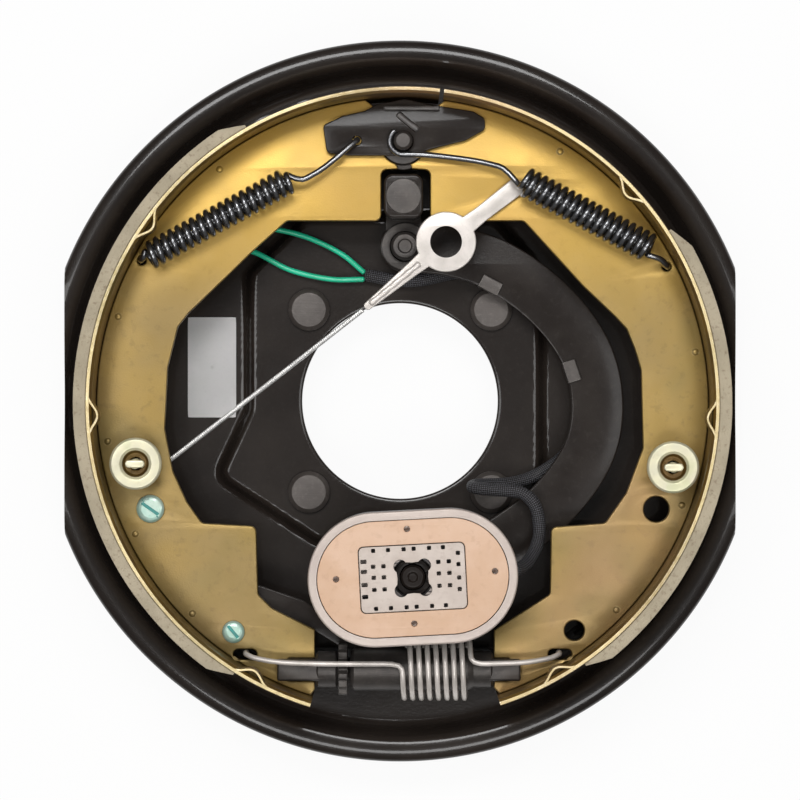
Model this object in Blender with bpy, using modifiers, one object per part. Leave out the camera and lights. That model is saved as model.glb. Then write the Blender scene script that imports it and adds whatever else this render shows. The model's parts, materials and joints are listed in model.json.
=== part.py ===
"""Electric trailer brake assembly, 10 x 2 1/4 inch, four-stud.

The brake lies on its back: +Z is the wheel axis, towards the drum, +Y is up on
the vehicle and the anchor post is at the top. The origin is on the wheel axis,
in the plane of the mounting studs' tips. Sizes are millimetres.
"""

import math

import bmesh
import bpy
from mathutils import Euler, Matrix, Vector

MM = 0.001
SEAT_GAP = 0.3

# Heights of the layers, from the stud tips towards the drum
STUD_REACH = 25.0
SHEET = 3.0
PAD_RISE = 6.0
PAD_BACK_Z = STUD_REACH
PAD_FRONT_Z = PAD_BACK_Z + SHEET
FIELD_FRONT_Z = PAD_FRONT_Z - PAD_RISE
FIELD_BACK_Z = FIELD_FRONT_Z - SHEET
SHOE_BACK_Z = 30.0
SHOE_WIDTH = 57.0
SHOE_FRONT_Z = SHOE_BACK_Z + SHOE_WIDTH
WEB_THICKNESS = 4.5
WEB_MID_Z = SHOE_BACK_Z + SHOE_WIDTH / 2
WEB_BACK_Z = WEB_MID_Z - WEB_THICKNESS / 2
WEB_FRONT_Z = WEB_MID_Z + WEB_THICKNESS / 2

# Backing plate
PLATE_RADIUS = 145.2
PLATE_FLAT = 134.9
PLATE_STEPS = 56
LIP_RISE = 11.0
LIP_ROLL = 2.0
LIP_SKIRT = 2.5
LIP_SHELF_RADIUS = PLATE_RADIUS - 8.2
LIP_STEP_RADIUS = LIP_SHELF_RADIUS - 5.5
HUB_HOLE_RADIUS = 39.4
PAD_CORNER_RADIUS = 7.0
LEDGE_ANGLES = (112.0, 180.0, 236.0, 304.0, 0.0, 62.0)
LEDGE_INNER_RADIUS = 114.0
LEDGE_OUTER_RADIUS = 127.0
LEDGE_WIDTH = 22.0

# Mounting studs
STUD_SPACING = 73.4
STUD_HEAD_RADIUS = 8.4
STUD_HEAD_HEIGHT = 3.2
STUD_SHANK_RADIUS = 5.5

# Shoes
SHOE_CENTER = Vector((1.0, -1.0))
TABLE_INNER_RADIUS = 121.3
TABLE_THICKNESS = 2.4
LINING_THICKNESS = 4.6
TABLE_OUTER_RADIUS = TABLE_INNER_RADIUS + TABLE_THICKNESS
LINING_INNER_RADIUS = TABLE_OUTER_RADIUS + SEAT_GAP
LINING_OUTER_RADIUS = LINING_INNER_RADIUS + LINING_THICKNESS
WEB_OUTER_RADIUS = TABLE_INNER_RADIUS - SEAT_GAP
LINING_SIDE_MARGIN = 1.0
SECONDARY_TABLE_ANGLES = (83.2, 253.0)
SECONDARY_LINING_ANGLES = (119.5, 238.0)
PRIMARY_TABLE_ANGLES = (-72.0, 82.4)
PRIMARY_LINING_ANGLES = (-55.0, 33.0)
LINING_TAPER = 4.5
LINING_END_THICKNESS = 1.0
TABLE_CRIMP_DEPTH = 2.2
TABLE_CRIMP_WIDTH = 12.0
SECONDARY_CRIMPS = (100.0, 140.0, 180.0, 222.0)
PRIMARY_CRIMPS = (70.0, 43.0, 0.0, -42.0)
SPARE_HOLE_UPPER = Vector((101.4, -42.8))
SPARE_HOLE_LOWER = Vector((69.0, -90.8))

# Anchor post, at the top of the plate
ANCHOR = Vector((1.2, 102.6))
ANCHOR_SEAT_RADIUS = 9.0
ANCHOR_BASE_RADIUS = 11.0
ANCHOR_TIP_RADIUS = 3.7
ANCHOR_TIP_Z = 71.0
ANCHOR_TAIL_RADIUS = 6.7
ANCHOR_TAIL_HEAD = 10.0
ANCHOR_PLATE_THICKNESS = 2.6
WINDOW_LEFT = -7.5
WINDOW_RIGHT = 12.0
WINDOW_TOP = 91.5
WEB_TOP_EDGE = 71.3

# Actuating arm
PIVOT = Vector((2.0, 61.8))
ARM_BACK_Z = 36.0
ARM_THICKNESS = 5.0
ARM_FRONT_Z = ARM_BACK_Z + ARM_THICKNESS
ARM_WIDTH = 20.8
ARM_BOSS_RADIUS = 10.2
PIVOT_RADIUS = 6.0
PIVOT_TAIL_RADIUS = 5.0
PIVOT_TAIL_HEAD = 7.5
PIVOT_FLANGE_RADIUS = 9.0
PIVOT_CLIP_RADIUS = 9.4
CAM_LEFT = -6.3
CAM_RIGHT = 9.1
CAM_BOTTOM = 72.3
CAM_TOP = 89.8
CAM_FRONT_Z = 62.5
CLIP_SHEET = 1.1
ARM_PATH = (
    (2.0, 61.8),
    (20.0, 60.2),
    (40.0, 53.6),
    (60.0, 39.0),
    (74.0, 20.4),
    (79.0, 0.4),
    (76.0, -19.6),
    (64.0, -38.0),
    (47.0, -52.6),
    (27.0, -63.6),
    (5.0, -68.8),
)

# Magnet
MAGNET = Vector((5.0, -68.8))
MAGNET_LENGTH = 82.0
MAGNET_BREADTH = 52.6
MAGNET_TILT = 3.0
MAGNET_FACE_Z = 90.0
MAGNET_RIM_DEPTH = 12.0
MAGNET_BACK_Z = 68.0
MAGNET_BACK_INSET = 5.0
MAGNET_RIM_WIDTH = 3.4
MAGNET_INSERT_DEPTH = 5.0
MAGNET_INSERT_SETBACK = 0.5
MAGNET_CLIP_DEPTH = 5.6
MAGNET_RIVETS = ((2.7, -49.8), (-24.9, -69.4), (37.0, -66.2), (5.6, -86.6))
MAGNET_RIVET_RADIUS = 1.2
MAGNET_BORE_RADIUS = 6.4
MAGNET_LOBE_REACH = 8.2
MAGNET_POST_RADIUS = 4.8
MAGNET_POST_TIP_Z = 84.0
MAGNET_SPRING_RADIUS = 8.6
MAGNET_SPRING_TURNS = 4.5
GRID_LENGTH = 41.2
GRID_BREADTH = 25.6
GRID_COLUMNS = 8
GRID_ROWS = 5
GRID_HOLE = 1.5
GRID_PITCH = (4.6, 4.5)
GRID_CLEAR = (9.0, 9.9)

# Adjuster, between the lower ends of the shoes
ADJUSTER = Vector((0.0, -106.2))
NOTCH_FLOOR_LEFT = -44.5
NOTCH_FLOOR_RIGHT = 43.6
NOTCH_HALF_HEIGHT = 4.6
FORK_EDGE_LEFT = -33.7
FORK_EDGE_RIGHT = 37.2
TONGUE_OVERLAP = 4.0
TONGUE_THICKNESS = 13.0
SOCKET_RADIUS = 7.2
BARREL_RADIUS = 8.4
STAR_RADIUS = 10.4
STAR_THICKNESS = 3.6
STAR_TEETH = 12
STAR_X = -24.4
SCREW_RADIUS = 5.0
ADJUSTER_SPRING_RADIUS = 12.0
ADJUSTER_SPRING_Y = -105.8
ADJUSTER_SPRING_LEFT = 0.8
ADJUSTER_SPRING_RIGHT = 28.0
ADJUSTER_SPRING_TURNS = 8
ADJUSTER_WIRE_RADIUS = 1.05
ADJUSTER_HOOK_LEFT = Vector((-60.5, -99.6))
ADJUSTER_HOOK_RIGHT = Vector((62.5, -99.6))
ADJUSTER_HOOK_SLOT = (7.5, 3.6)

# Retractor springs
SPRING_Z = 70.2
LEFT_SPRING_START = Vector((-43.4, 87.1))
LEFT_SPRING_END = Vector((-99.4, 56.6))
LEFT_SPRING_RADIUS = 5.9
LEFT_SPRING_TURNS = 17
RIGHT_SPRING_START = Vector((48.4, 86.7))
RIGHT_SPRING_END = Vector((98.8, 59.7))
RIGHT_SPRING_RADIUS = 6.4
RIGHT_SPRING_TURNS = 17
SPRING_WIRE_RADIUS = 1.2
SPRING_HOLE_RADIUS = 1.8
SPRING_HOLE_LEFT = Vector((-102.2, 55.6))
SPRING_HOLE_RIGHT = Vector((105.4, 53.2))
ANCHOR_PLATE_HOLE = Vector((-17.0, 102.9))

# Shoe hold-downs
HOLD_DOWNS = {"left": Vector((-103.8, -24.6)), "right": Vector((107.2, -26.0))}
HOLD_PIN_RADIUS = 2.0
HOLD_HOLE_RADIUS = 4.2
HOLD_CUP_RADIUS = 10.2
HOLD_SPRING_RADIUS = 6.6
HOLD_SPRING_TURNS = 3.5
HOLD_CUP_Z = 75.0

# Self-adjusting set
LINK_Z = 61.2
LINK_THICKNESS = 2.2
LINK_RING = Vector((18.2, 62.9))
LINK_RING_RADIUS = 11.9
LINK_HOLE_RADIUS = 6.3
LINK_HOOK = Vector((45.4, 84.2))
LINK_TAIL = Vector((-12.7, 37.6))
CABLE_RADIUS = 1.0
GUIDE = Vector((-98.7, -42.6))
GUIDE_RADIUS = 7.6
GUIDE_RIVET_RADIUS = 5.5
PAWL = Vector((-65.9, -91.3))
PAWL_THICKNESS = 2.4
PAWL_FRONT_Z = 52.6
PAWL_RIVET_RADIUS = 4.4
PAWL_HOLE_RADIUS = 2.5
CABLE_Z = 50.9

# Leads, plugs and label
LEAD_RADIUS = 1.1
SLEEVE_RADIUS = 2.6
GROMMET = Vector((-70.0, 66.0))
GROMMET_RADIUS = 6.0
PLUG_PLACES = {"left": Vector((-28.0, -106.0)), "right": Vector((28.0, -106.0))}
PLUG_LENGTH = 20.0
PLUG_BREADTH = 9.0
LABEL_CENTER = Vector((-76.0, 13.6))
LABEL_SIZE = (19.5, 40.5)
LABEL_THICKNESS = 0.4


def clear_scene():
    for obj in list(bpy.data.objects):
        bpy.data.objects.remove(obj, do_unlink=True)


def new_collection(name):
    collection = bpy.data.collections.new(name)
    bpy.context.scene.collection.children.link(collection)
    return collection


def material(name, colour, roughness, metallic):
    made = bpy.data.materials.new(name)
    made.use_nodes = True
    shader = made.node_tree.nodes["Principled BSDF"]
    shader.inputs["Base Color"].default_value = (*colour, 1.0)
    shader.inputs["Roughness"].default_value = roughness
    shader.inputs["Metallic"].default_value = metallic
    return made


def smooth(mesh, angle=35.0):
    mesh.shade_smooth()
    mesh.set_sharp_from_angle(angle=math.radians(angle))


def add_object(name, data, finish):
    """An object of the brake, in the collection of parts."""
    obj = bpy.data.objects.new(name, data)
    PARTS.objects.link(obj)
    if finish is not None:
        data.materials.append(finish)
    return obj


def hide_tool(obj):
    """Moves an object that only cuts or joins out of the parts."""
    for owner in list(obj.users_collection):
        owner.objects.unlink(obj)
    CUTTERS.objects.link(obj)
    obj.hide_render = True
    obj.display_type = "WIRE"


def combine(target, tool, operation):
    modifier = target.modifiers.new(f"{operation} {tool.name}", "BOOLEAN")
    modifier.operation = operation
    modifier.object = tool
    hide_tool(tool)


def cut(target, tool):
    combine(target, tool, "DIFFERENCE")


def join(target, tool):
    combine(target, tool, "UNION")


def point(flat, z):
    return Vector((flat[0], flat[1], z))


def polar(center, radius, degrees):
    angle = math.radians(degrees)
    return Vector((center[0] + radius * math.cos(angle), center[1] + radius * math.sin(angle)))


def arc(center, radius, start, end, count):
    """Points on an arc from one angle to another, both ends included."""
    return [polar(center, radius, start + (end - start) * i / count) for i in range(count + 1)]


def circle(center, radius, count=24):
    return [polar(center, radius, 360.0 * i / count) for i in range(count)]


def rounded(corners, radius, steps=3, closed=True):
    """An outline with each corner replaced by a fillet, smaller where an edge is short."""
    outline = []
    count = len(corners)
    for i in range(count):
        if not closed and i in (0, count - 1):
            outline.append(Vector(corners[i]))
            continue
        before = Vector(corners[i - 1])
        corner = Vector(corners[i])
        after = Vector(corners[(i + 1) % count])
        incoming = (before - corner).normalized()
        outgoing = (after - corner).normalized()
        half = incoming.angle(outgoing, math.pi) / 2
        if half > math.radians(84):
            outline.append(corner)
            continue
        room = 0.45 * min((before - corner).length, (after - corner).length)
        reach = min(radius / math.tan(half), room)
        middle = corner + (incoming + outgoing).normalized() * (reach / math.cos(half))
        fillet = reach * math.tan(half)
        first = corner + incoming * reach - middle
        last = corner + outgoing * reach - middle
        turn = first.angle_signed(last)
        for step in range(steps + 1):
            swing = Matrix.Rotation(-turn * step / steps, 2)
            outline.append(middle + swing @ (first.normalized() * fillet))
    return outline


def box_outline(center, size, radius=0.0, degrees=0.0):
    half_x = size[0] / 2
    half_y = size[1] / 2
    turn = Matrix.Rotation(math.radians(degrees), 2)
    corners = [(-half_x, -half_y), (half_x, -half_y), (half_x, half_y), (-half_x, half_y)]
    placed = [Vector(center) + turn @ Vector(corner) for corner in corners]
    return rounded(placed, radius) if radius else placed


def stadium(center, length, breadth, degrees=0.0, steps=10):
    radius = breadth / 2
    reach = length / 2 - radius
    turn = Matrix.Rotation(math.radians(degrees), 2)
    ends = arc((reach, 0), radius, -90, 90, steps) + arc((-reach, 0), radius, 90, 270, steps)
    return [Vector(center) + turn @ end for end in ends]


def ribbon(path, widths, steps=5):
    """The outline of a flat strip along a smooth centre line, with round ends."""
    line = spline_through([Vector((x, y, 0)) for x, y in path], steps)
    count = len(line)
    sides = ([], [])
    for i, place in enumerate(line):
        ahead = line[min(i + 1, count - 1)] - line[max(i - 1, 0)]
        normal = Vector((-ahead.y, ahead.x)).normalized()
        share = i / (count - 1) * (len(widths) - 1)
        low = min(int(share), len(widths) - 2)
        width = widths[low] + (widths[low + 1] - widths[low]) * (share - low)
        sides[0].append(place.xy + normal * width / 2)
        sides[1].append(place.xy - normal * width / 2)
    outline = sides[1] + round_end(line[-1].xy, sides[1][-1]) + sides[0][::-1]
    return outline + round_end(line[0].xy, sides[0][0])


def round_end(center, start, count=7):
    """Points of a half circle about a strip's end, turning left, without its two ends."""
    spoke = start - center
    return [center + Matrix.Rotation(math.pi * i / count, 2) @ spoke for i in range(1, count)]


def spline_through(places, steps):
    """Points on a smooth curve through the given places."""
    padded = [2 * places[0] - places[1], *places, 2 * places[-1] - places[-2]]
    line = []
    for i in range(1, len(padded) - 2):
        a, b, c, d = padded[i - 1 : i + 3]
        for step in range(steps):
            t = step / steps
            line.append(
                0.5
                * (
                    2 * b
                    + (c - a) * t
                    + (2 * a - 5 * b + 4 * c - d) * t * t
                    + (3 * b - a - 3 * c + d) * t * t * t
                )
            )
    line.append(places[-1].copy())
    return line


def mesh_from_curve(name, curve, finish):
    """Turns a curve into a closed mesh object, its caps welded to its sides."""
    drawn = bpy.data.objects.new(name + " curve", curve)
    CUTTERS.objects.link(drawn)
    graph = bpy.context.evaluated_depsgraph_get()
    mesh = bpy.data.meshes.new_from_object(drawn.evaluated_get(graph))
    bpy.data.objects.remove(drawn, do_unlink=True)
    bpy.data.curves.remove(curve)
    shape = bmesh.new()
    shape.from_mesh(mesh)
    bmesh.ops.remove_doubles(shape, verts=shape.verts, dist=0.00001)
    bmesh.ops.recalc_face_normals(shape, faces=shape.faces)
    shape.to_mesh(mesh)
    shape.free()
    smooth(mesh)
    return add_object(name, mesh, finish)


def add_loop(curve, places, z=0.0, cyclic=True):
    spline = curve.splines.new("POLY")
    spline.points.add(len(places) - 1)
    for place, target in zip(places, spline.points):
        target.co = (place[0] * MM, place[1] * MM, (place[2] if len(place) > 2 else z) * MM, 1.0)
    spline.use_cyclic_u = cyclic


def slab(name, loops, low, high, finish):
    """A flat piece with an outline and holes, between two heights."""
    curve = bpy.data.curves.new(name, "CURVE")
    curve.dimensions = "2D"
    curve.fill_mode = "BOTH"
    curve.extrude = (high - low) / 2 * MM
    for loop in loops:
        add_loop(curve, loop)
    obj = mesh_from_curve(name, curve, finish)
    obj.data.transform(Matrix.Translation((0, 0, (low + high) / 2 * MM)))
    return obj


def wire(name, places, radius, finish, resolution=1):
    """A round wire through the given points, its ends closed."""
    curve = bpy.data.curves.new(name, "CURVE")
    curve.dimensions = "3D"
    curve.bevel_depth = radius * MM
    curve.bevel_resolution = resolution
    curve.use_fill_caps = True
    add_loop(curve, places, cyclic=False)
    return mesh_from_curve(name, curve, finish)


def turned(name, profile, finish, steps=32, place=(0, 0, 0), tilt=None):
    """A turned piece: pairs of radius and height, down its outer side, about +Z or a tilted axis."""
    mesh = bpy.data.meshes.new(name)
    places = [(radius * MM, 0, height * MM) for radius, height in profile]
    on_axis = profile[0][0] == 0 and profile[-1][0] == 0
    edges = [(i, i + 1) for i in range(len(places) - 1)]
    if not on_axis:
        edges.append((len(places) - 1, 0))
    mesh.from_pydata(places, edges, [])
    obj = add_object(name, mesh, finish)
    screw = obj.modifiers.new("turn", "SCREW")
    screw.steps = steps
    screw.render_steps = steps
    screw.use_merge_vertices = True
    screw.merge_threshold = 0.00001
    screw.use_smooth_shade = True
    obj.location = Vector(place) * MM
    if tilt is not None:
        obj.rotation_euler = tilt
    return obj


def cylinder(name, center, radius, low, high, finish, sides=32):
    flat = center if len(center) == 2 else center[:2]
    return turned(name, [(0, high), (radius, high), (radius, low), (0, low)], finish, sides,
                  (flat[0], flat[1], 0))


def block(name, low, high, finish=None):
    """A box between two corners."""
    shape = bmesh.new()
    bmesh.ops.create_cube(shape, size=1.0)
    size = [(b - a) * MM for a, b in zip(low, high)]
    middle = [(a + b) / 2 * MM for a, b in zip(low, high)]
    bmesh.ops.scale(shape, vec=size, verts=shape.verts)
    bmesh.ops.translate(shape, vec=middle, verts=shape.verts)
    mesh = bpy.data.meshes.new(name)
    shape.to_mesh(mesh)
    shape.free()
    return add_object(name, mesh, finish)


def coil(start, end, radius, turns, per_turn, drawn_in=False):
    """Points of a helix from start to end, its last turns drawn in towards the axis where hooks follow."""
    axis = end - start
    along = axis.normalized()
    side = along.cross(Vector((0, 0, 1)))
    side = side.normalized() if side.length > 0.01 else Vector((1, 0, 0))
    up = side.cross(along)
    count = int(turns * per_turn)
    places = []
    for i in range(count + 1):
        angle = 2 * math.pi * turns * i / count
        from_end = min(i, count - i) / per_turn
        spread = radius * min(1.0, 0.5 + from_end) if drawn_in else radius
        spoke = math.cos(angle) * side + math.sin(angle) * up
        places.append(start + axis * i / count + spread * spoke)
    return places


def lie_along_x(obj, place):
    """Turns a piece modelled about +Z so that it lies along +X, at the given place."""
    obj.data.transform(Matrix.Rotation(math.pi / 2, 4, "Y"))
    obj.data.transform(Matrix.Translation(Vector(place) * MM))


def pad_outline(inset=0.0):
    left = -62.5 + inset
    right = 58.4 - inset
    top = 76.0 - inset
    low = -58.0 + inset
    corners = [
        (left, 52.0),
        (left + 24.0, top),
        (right - 20.0, top),
        (right, 52.0),
        (right, -40.0),
        (right - 16.0, low),
        (-34.0 + 0.3 * inset, low),
        (-75.4 + 1.27 * inset, -31.0 + 0.37 * inset),
        (left, -3.0 - 0.22 * inset),
    ]
    return rounded(corners, PAD_CORNER_RADIUS, 2)


def ledge_outlines(inset=0.0):
    """The six embossed ledges that the shoes' back edges slide on."""
    middle = (LEDGE_INNER_RADIUS + LEDGE_OUTER_RADIUS) / 2
    depth = LEDGE_OUTER_RADIUS - LEDGE_INNER_RADIUS - 2 * inset
    return [
        box_outline(polar(SHOE_CENTER, middle, angle), (depth, LEDGE_WIDTH - 2 * inset), 0, angle)
        for angle in LEDGE_ANGLES
    ]


def plate_holes():
    holes = [circle((0, 0), HUB_HOLE_RADIUS, 40)]
    holes += [circle(place, STUD_SHANK_RADIUS + SEAT_GAP, 14) for place in stud_places()]
    holes.append(circle(ANCHOR, ANCHOR_TAIL_RADIUS + SEAT_GAP, 16))
    holes.append(circle(PIVOT, PIVOT_TAIL_RADIUS + SEAT_GAP, 14))
    holes += [circle(place, HOLD_PIN_RADIUS + SEAT_GAP, 12) for place in HOLD_DOWNS.values()]
    holes.append(circle(GROMMET, GROMMET_RADIUS - 1.2, 16))
    holes += [stadium(place, PLUG_LENGTH, PLUG_BREADTH, 0, 6) for place in PLUG_PLACES.values()]
    return holes


def stud_places():
    half = STUD_SPACING / 2
    return [Vector((x, y)) for y in (half, -half) for x in (-half, half)]


def backing_plate():
    lip_top = FIELD_FRONT_Z + LIP_RISE
    lip_under = lip_top - SHEET
    inner = HUB_HOLE_RADIUS - 8.0
    profile = [
        (inner, FIELD_FRONT_Z),
        (LIP_STEP_RADIUS, FIELD_FRONT_Z),
        (LIP_SHELF_RADIUS, lip_top),
        (PLATE_RADIUS - LIP_ROLL, lip_top),
        (PLATE_RADIUS - LIP_ROLL * 0.3, lip_top - LIP_ROLL * 0.3),
        (PLATE_RADIUS, lip_top - LIP_ROLL),
        (PLATE_RADIUS, lip_under - LIP_SKIRT),
        (PLATE_RADIUS - SHEET, lip_under - LIP_SKIRT),
        (PLATE_RADIUS - SHEET - 0.6, lip_under),
        (LIP_SHELF_RADIUS + 1.6, lip_under),
        (LIP_STEP_RADIUS + 1.2, FIELD_BACK_Z),
        (inner, FIELD_BACK_Z),
    ]
    plate = turned("backing_plate", profile, FINISH["black paint"], PLATE_STEPS)
    skin = 0.5
    join(plate, slab("pad", [pad_outline()], FIELD_BACK_Z + skin, PAD_FRONT_Z, None))
    ledge_top = SHOE_BACK_Z - SEAT_GAP
    join(plate, slab("ledges", ledge_outlines(), FIELD_BACK_Z + skin, ledge_top, None))
    cut(plate, slab("pad pocket", [pad_outline(SHEET)], FIELD_BACK_Z - 1, PAD_BACK_Z, None))
    cut(plate, slab("ledge pockets", ledge_outlines(SHEET), FIELD_BACK_Z - 1, ledge_top - SHEET, None))
    cut(plate, slab("holes", plate_holes(), FIELD_BACK_Z - 5, PAD_FRONT_Z + 5, None))
    reach = PLATE_RADIUS + 5
    left = box_outline((-PLATE_FLAT - 20, 0), (40, 2 * reach))
    right = box_outline((PLATE_FLAT + 20, 0), (40, 2 * reach))
    cut(plate, slab("flats", [left, right], FIELD_BACK_Z - 5, lip_top + 5, None))
    return [plate]


def mounting_studs():
    seat = PAD_FRONT_Z + SEAT_GAP
    profile = [
        (0, seat + STUD_HEAD_HEIGHT),
        (STUD_HEAD_RADIUS - 1.4, seat + STUD_HEAD_HEIGHT),
        (STUD_HEAD_RADIUS, seat + STUD_HEAD_HEIGHT - 1.2),
        (STUD_HEAD_RADIUS, seat),
        (STUD_SHANK_RADIUS, seat),
        (STUD_SHANK_RADIUS, 1.0),
        (STUD_SHANK_RADIUS - 1.0, 0),
        (0, 0),
    ]
    return [
        turned(f"mounting_stud_{i + 1}", profile, FINISH["dark steel"], 14, (place.x, place.y, 0))
        for i, place in enumerate(stud_places())
    ]


def anchor_post():
    back = FIELD_BACK_Z - SEAT_GAP
    front = FIELD_FRONT_Z + SEAT_GAP
    shoulder = WEB_BACK_Z - SEAT_GAP
    profile = [
        (0, ANCHOR_TIP_Z),
        (ANCHOR_TIP_RADIUS - 1.3, ANCHOR_TIP_Z),
        (ANCHOR_TIP_RADIUS, ANCHOR_TIP_Z - 1.3),
        (ANCHOR_TIP_RADIUS, WEB_FRONT_Z),
        (ANCHOR_SEAT_RADIUS, WEB_FRONT_Z),
        (ANCHOR_SEAT_RADIUS, shoulder),
        (ANCHOR_BASE_RADIUS, shoulder),
        (ANCHOR_BASE_RADIUS, front),
        (ANCHOR_TAIL_RADIUS, front),
        (ANCHOR_TAIL_RADIUS, back),
        (ANCHOR_TAIL_HEAD, back),
        (ANCHOR_TAIL_HEAD - 1.2, back - 4.0),
        (0, back - 4.0),
    ]
    return turned("anchor_post", profile, FINISH["dark steel"], 16, (ANCHOR.x, ANCHOR.y, 0))


def anchor_plate():
    """The kite-shaped guide plate in front of the shoe ends, with its top edge turned up."""
    corners = [
        (-30.5, 109.0),
        (-22.5, 112.7),
        (-14.0, 114.6),
        (-9.0, 117.2),
        (2.0, 119.4),
        (11.5, 117.2),
        (29.0, 114.4),
        (33.6, 111.6),
        (33.6, 107.2),
        (25.7, 102.8),
        (11.5, 99.3),
        (6.3, 96.9),
        (-20.2, 96.9),
        (-28.9, 97.9),
    ]
    back = WEB_FRONT_Z + SEAT_GAP
    front = back + ANCHOR_PLATE_THICKNESS
    holes = [
        circle(ANCHOR, ANCHOR_TIP_RADIUS + SEAT_GAP, 20),
        circle(ANCHOR_PLATE_HOLE, SPRING_HOLE_RADIUS, 10),
    ]
    outline = rounded(corners[::-1], 1.6, 2)
    plate = slab("anchor_plate", [outline, *holes], back, front, FINISH["black paint"])
    join(plate, slab("lip", [box_outline((4.6, 115.6), (22.0, 1.8))], back + 0.5, front + 2.2, None))
    return plate


def pivot_set():
    """The stud that the actuating arm swings on, and the clip that keeps the arm."""
    seat = PAD_FRONT_Z + SEAT_GAP
    under = PAD_BACK_Z - SEAT_GAP
    stud = turned(
        "lever_pivot_stud",
        [
            (0, ARM_FRONT_Z + 7.0),
            (PIVOT_RADIUS - 1.3, ARM_FRONT_Z + 7.0),
            (PIVOT_RADIUS - SEAT_GAP, ARM_FRONT_Z + 6.0),
            (PIVOT_RADIUS - SEAT_GAP, ARM_BACK_Z - SEAT_GAP),
            (PIVOT_FLANGE_RADIUS, ARM_BACK_Z - SEAT_GAP),
            (PIVOT_FLANGE_RADIUS, seat),
            (PIVOT_TAIL_RADIUS, seat),
            (PIVOT_TAIL_RADIUS, under),
            (PIVOT_TAIL_HEAD, under),
            (PIVOT_TAIL_HEAD - 1.0, under - 3.2),
            (0, under - 3.2),
        ],
        FINISH["dark steel"],
        16,
        (PIVOT.x, PIVOT.y, 0),
    )
    low = ARM_FRONT_Z + SEAT_GAP
    outer = arc(PIVOT, PIVOT_CLIP_RADIUS, 25, 335, 20)
    inner = arc(PIVOT, PIVOT_RADIUS, 335, 25, 16)
    clip = slab("lever_pivot_clip", [outer + inner], low, low + 1.4, FINISH["spring steel"])
    return [stud, clip]


def grommet_and_plugs():
    back = FIELD_BACK_Z - SEAT_GAP
    front = FIELD_FRONT_Z + SEAT_GAP
    neck = GROMMET_RADIUS - 1.5
    profile = [
        (3.2, front + 2.6),
        (4.6, front + 2.6),
        (GROMMET_RADIUS, front + 1.4),
        (GROMMET_RADIUS, front),
        (neck, front),
        (neck, back),
        (GROMMET_RADIUS, back),
        (GROMMET_RADIUS, back - 2.4),
        (3.2, back - 2.4),
    ]
    pieces = [turned("wire_grommet", profile, FINISH["rubber"], 12, (GROMMET.x, GROMMET.y, 0))]
    for side, place in PLUG_PLACES.items():
        slim = 2 * SEAT_GAP
        neck_outline = stadium(place, PLUG_LENGTH - slim, PLUG_BREADTH - slim, 0, 6)
        plug = slab(f"slot_plug_{side}", [neck_outline], back - 1.5, front + 0.5, FINISH["rubber"])
        flange = [stadium(place, PLUG_LENGTH + 4, PLUG_BREADTH + 4, 0, 6)]
        join(plug, slab(f"plug flange {side}", flange, front, front + 1.6, None))
        pieces.append(plug)
    return pieces


def label():
    low = FIELD_FRONT_Z + SEAT_GAP
    outline = box_outline(LABEL_CENTER, LABEL_SIZE, 1.2)
    return [slab("label", [outline], low, low + LABEL_THICKNESS, FINISH["label"])]


def crimp_marks(name, angles):
    """Shallow notches in a table's front edge, where the web's lugs are staked."""
    radius = (TABLE_INNER_RADIUS + TABLE_OUTER_RADIUS) / 2
    size = (TABLE_THICKNESS * 3, TABLE_CRIMP_WIDTH)
    loops = [box_outline(polar(SHOE_CENTER, radius, angle), size, 0, angle) for angle in angles]
    return slab(name, loops, SHOE_FRONT_Z - TABLE_CRIMP_DEPTH, SHOE_FRONT_Z + 2, None)


def shoe_band(name, inner, outer, angles, low, high, finish):
    count = max(8, int(abs(angles[1] - angles[0]) / 5))
    outline = arc(SHOE_CENTER, outer, angles[0], angles[1], count)
    outline += arc(SHOE_CENTER, inner, angles[1], angles[0], count)
    return slab(name, [outline], low, high, finish)


def lining_block(name, angles):
    """A lining bonded to its table, ground thin at both ends."""
    first, last = angles
    count = int((last - first) / 5)
    end = LINING_INNER_RADIUS + LINING_END_THICKNESS
    outline = [polar(SHOE_CENTER, end, first)]
    outline += arc(SHOE_CENTER, LINING_OUTER_RADIUS, first + LINING_TAPER, last - LINING_TAPER, count)
    outline.append(polar(SHOE_CENTER, end, last))
    outline += arc(SHOE_CENTER, LINING_INNER_RADIUS, last, first, count)
    low = SHOE_BACK_Z + LINING_SIDE_MARGIN
    high = SHOE_FRONT_Z - LINING_SIDE_MARGIN
    return slab(name, [outline], low, high, FINISH["lining"])


def shoe(side, web_outline, holes, table_angles, lining_angles, crimps):
    web = slab(f"{side}_web", [web_outline, *holes], WEB_BACK_Z, WEB_FRONT_Z, FINISH["yellow zinc"])
    table = shoe_band(f"{side}_table", TABLE_INNER_RADIUS, TABLE_OUTER_RADIUS, table_angles,
                      SHOE_BACK_Z, SHOE_FRONT_Z, FINISH["yellow zinc"])
    cut(table, crimp_marks(f"{side} crimps", crimps))
    return [web, table, lining_block(f"{side}_lining", lining_angles)]


def outer_edge(start, end):
    return arc(SHOE_CENTER, WEB_OUTER_RADIUS, start, end, 30)


def notch_corners(floor, edge, low_leg):
    """The lower end of a web, forked to take the adjuster."""
    top = ADJUSTER.y + NOTCH_HALF_HEIGHT
    bottom = ADJUSTER.y - NOTCH_HALF_HEIGHT
    return [(edge, low_leg), (edge, bottom), (floor, bottom), (floor, top), (edge, top)]


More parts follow.
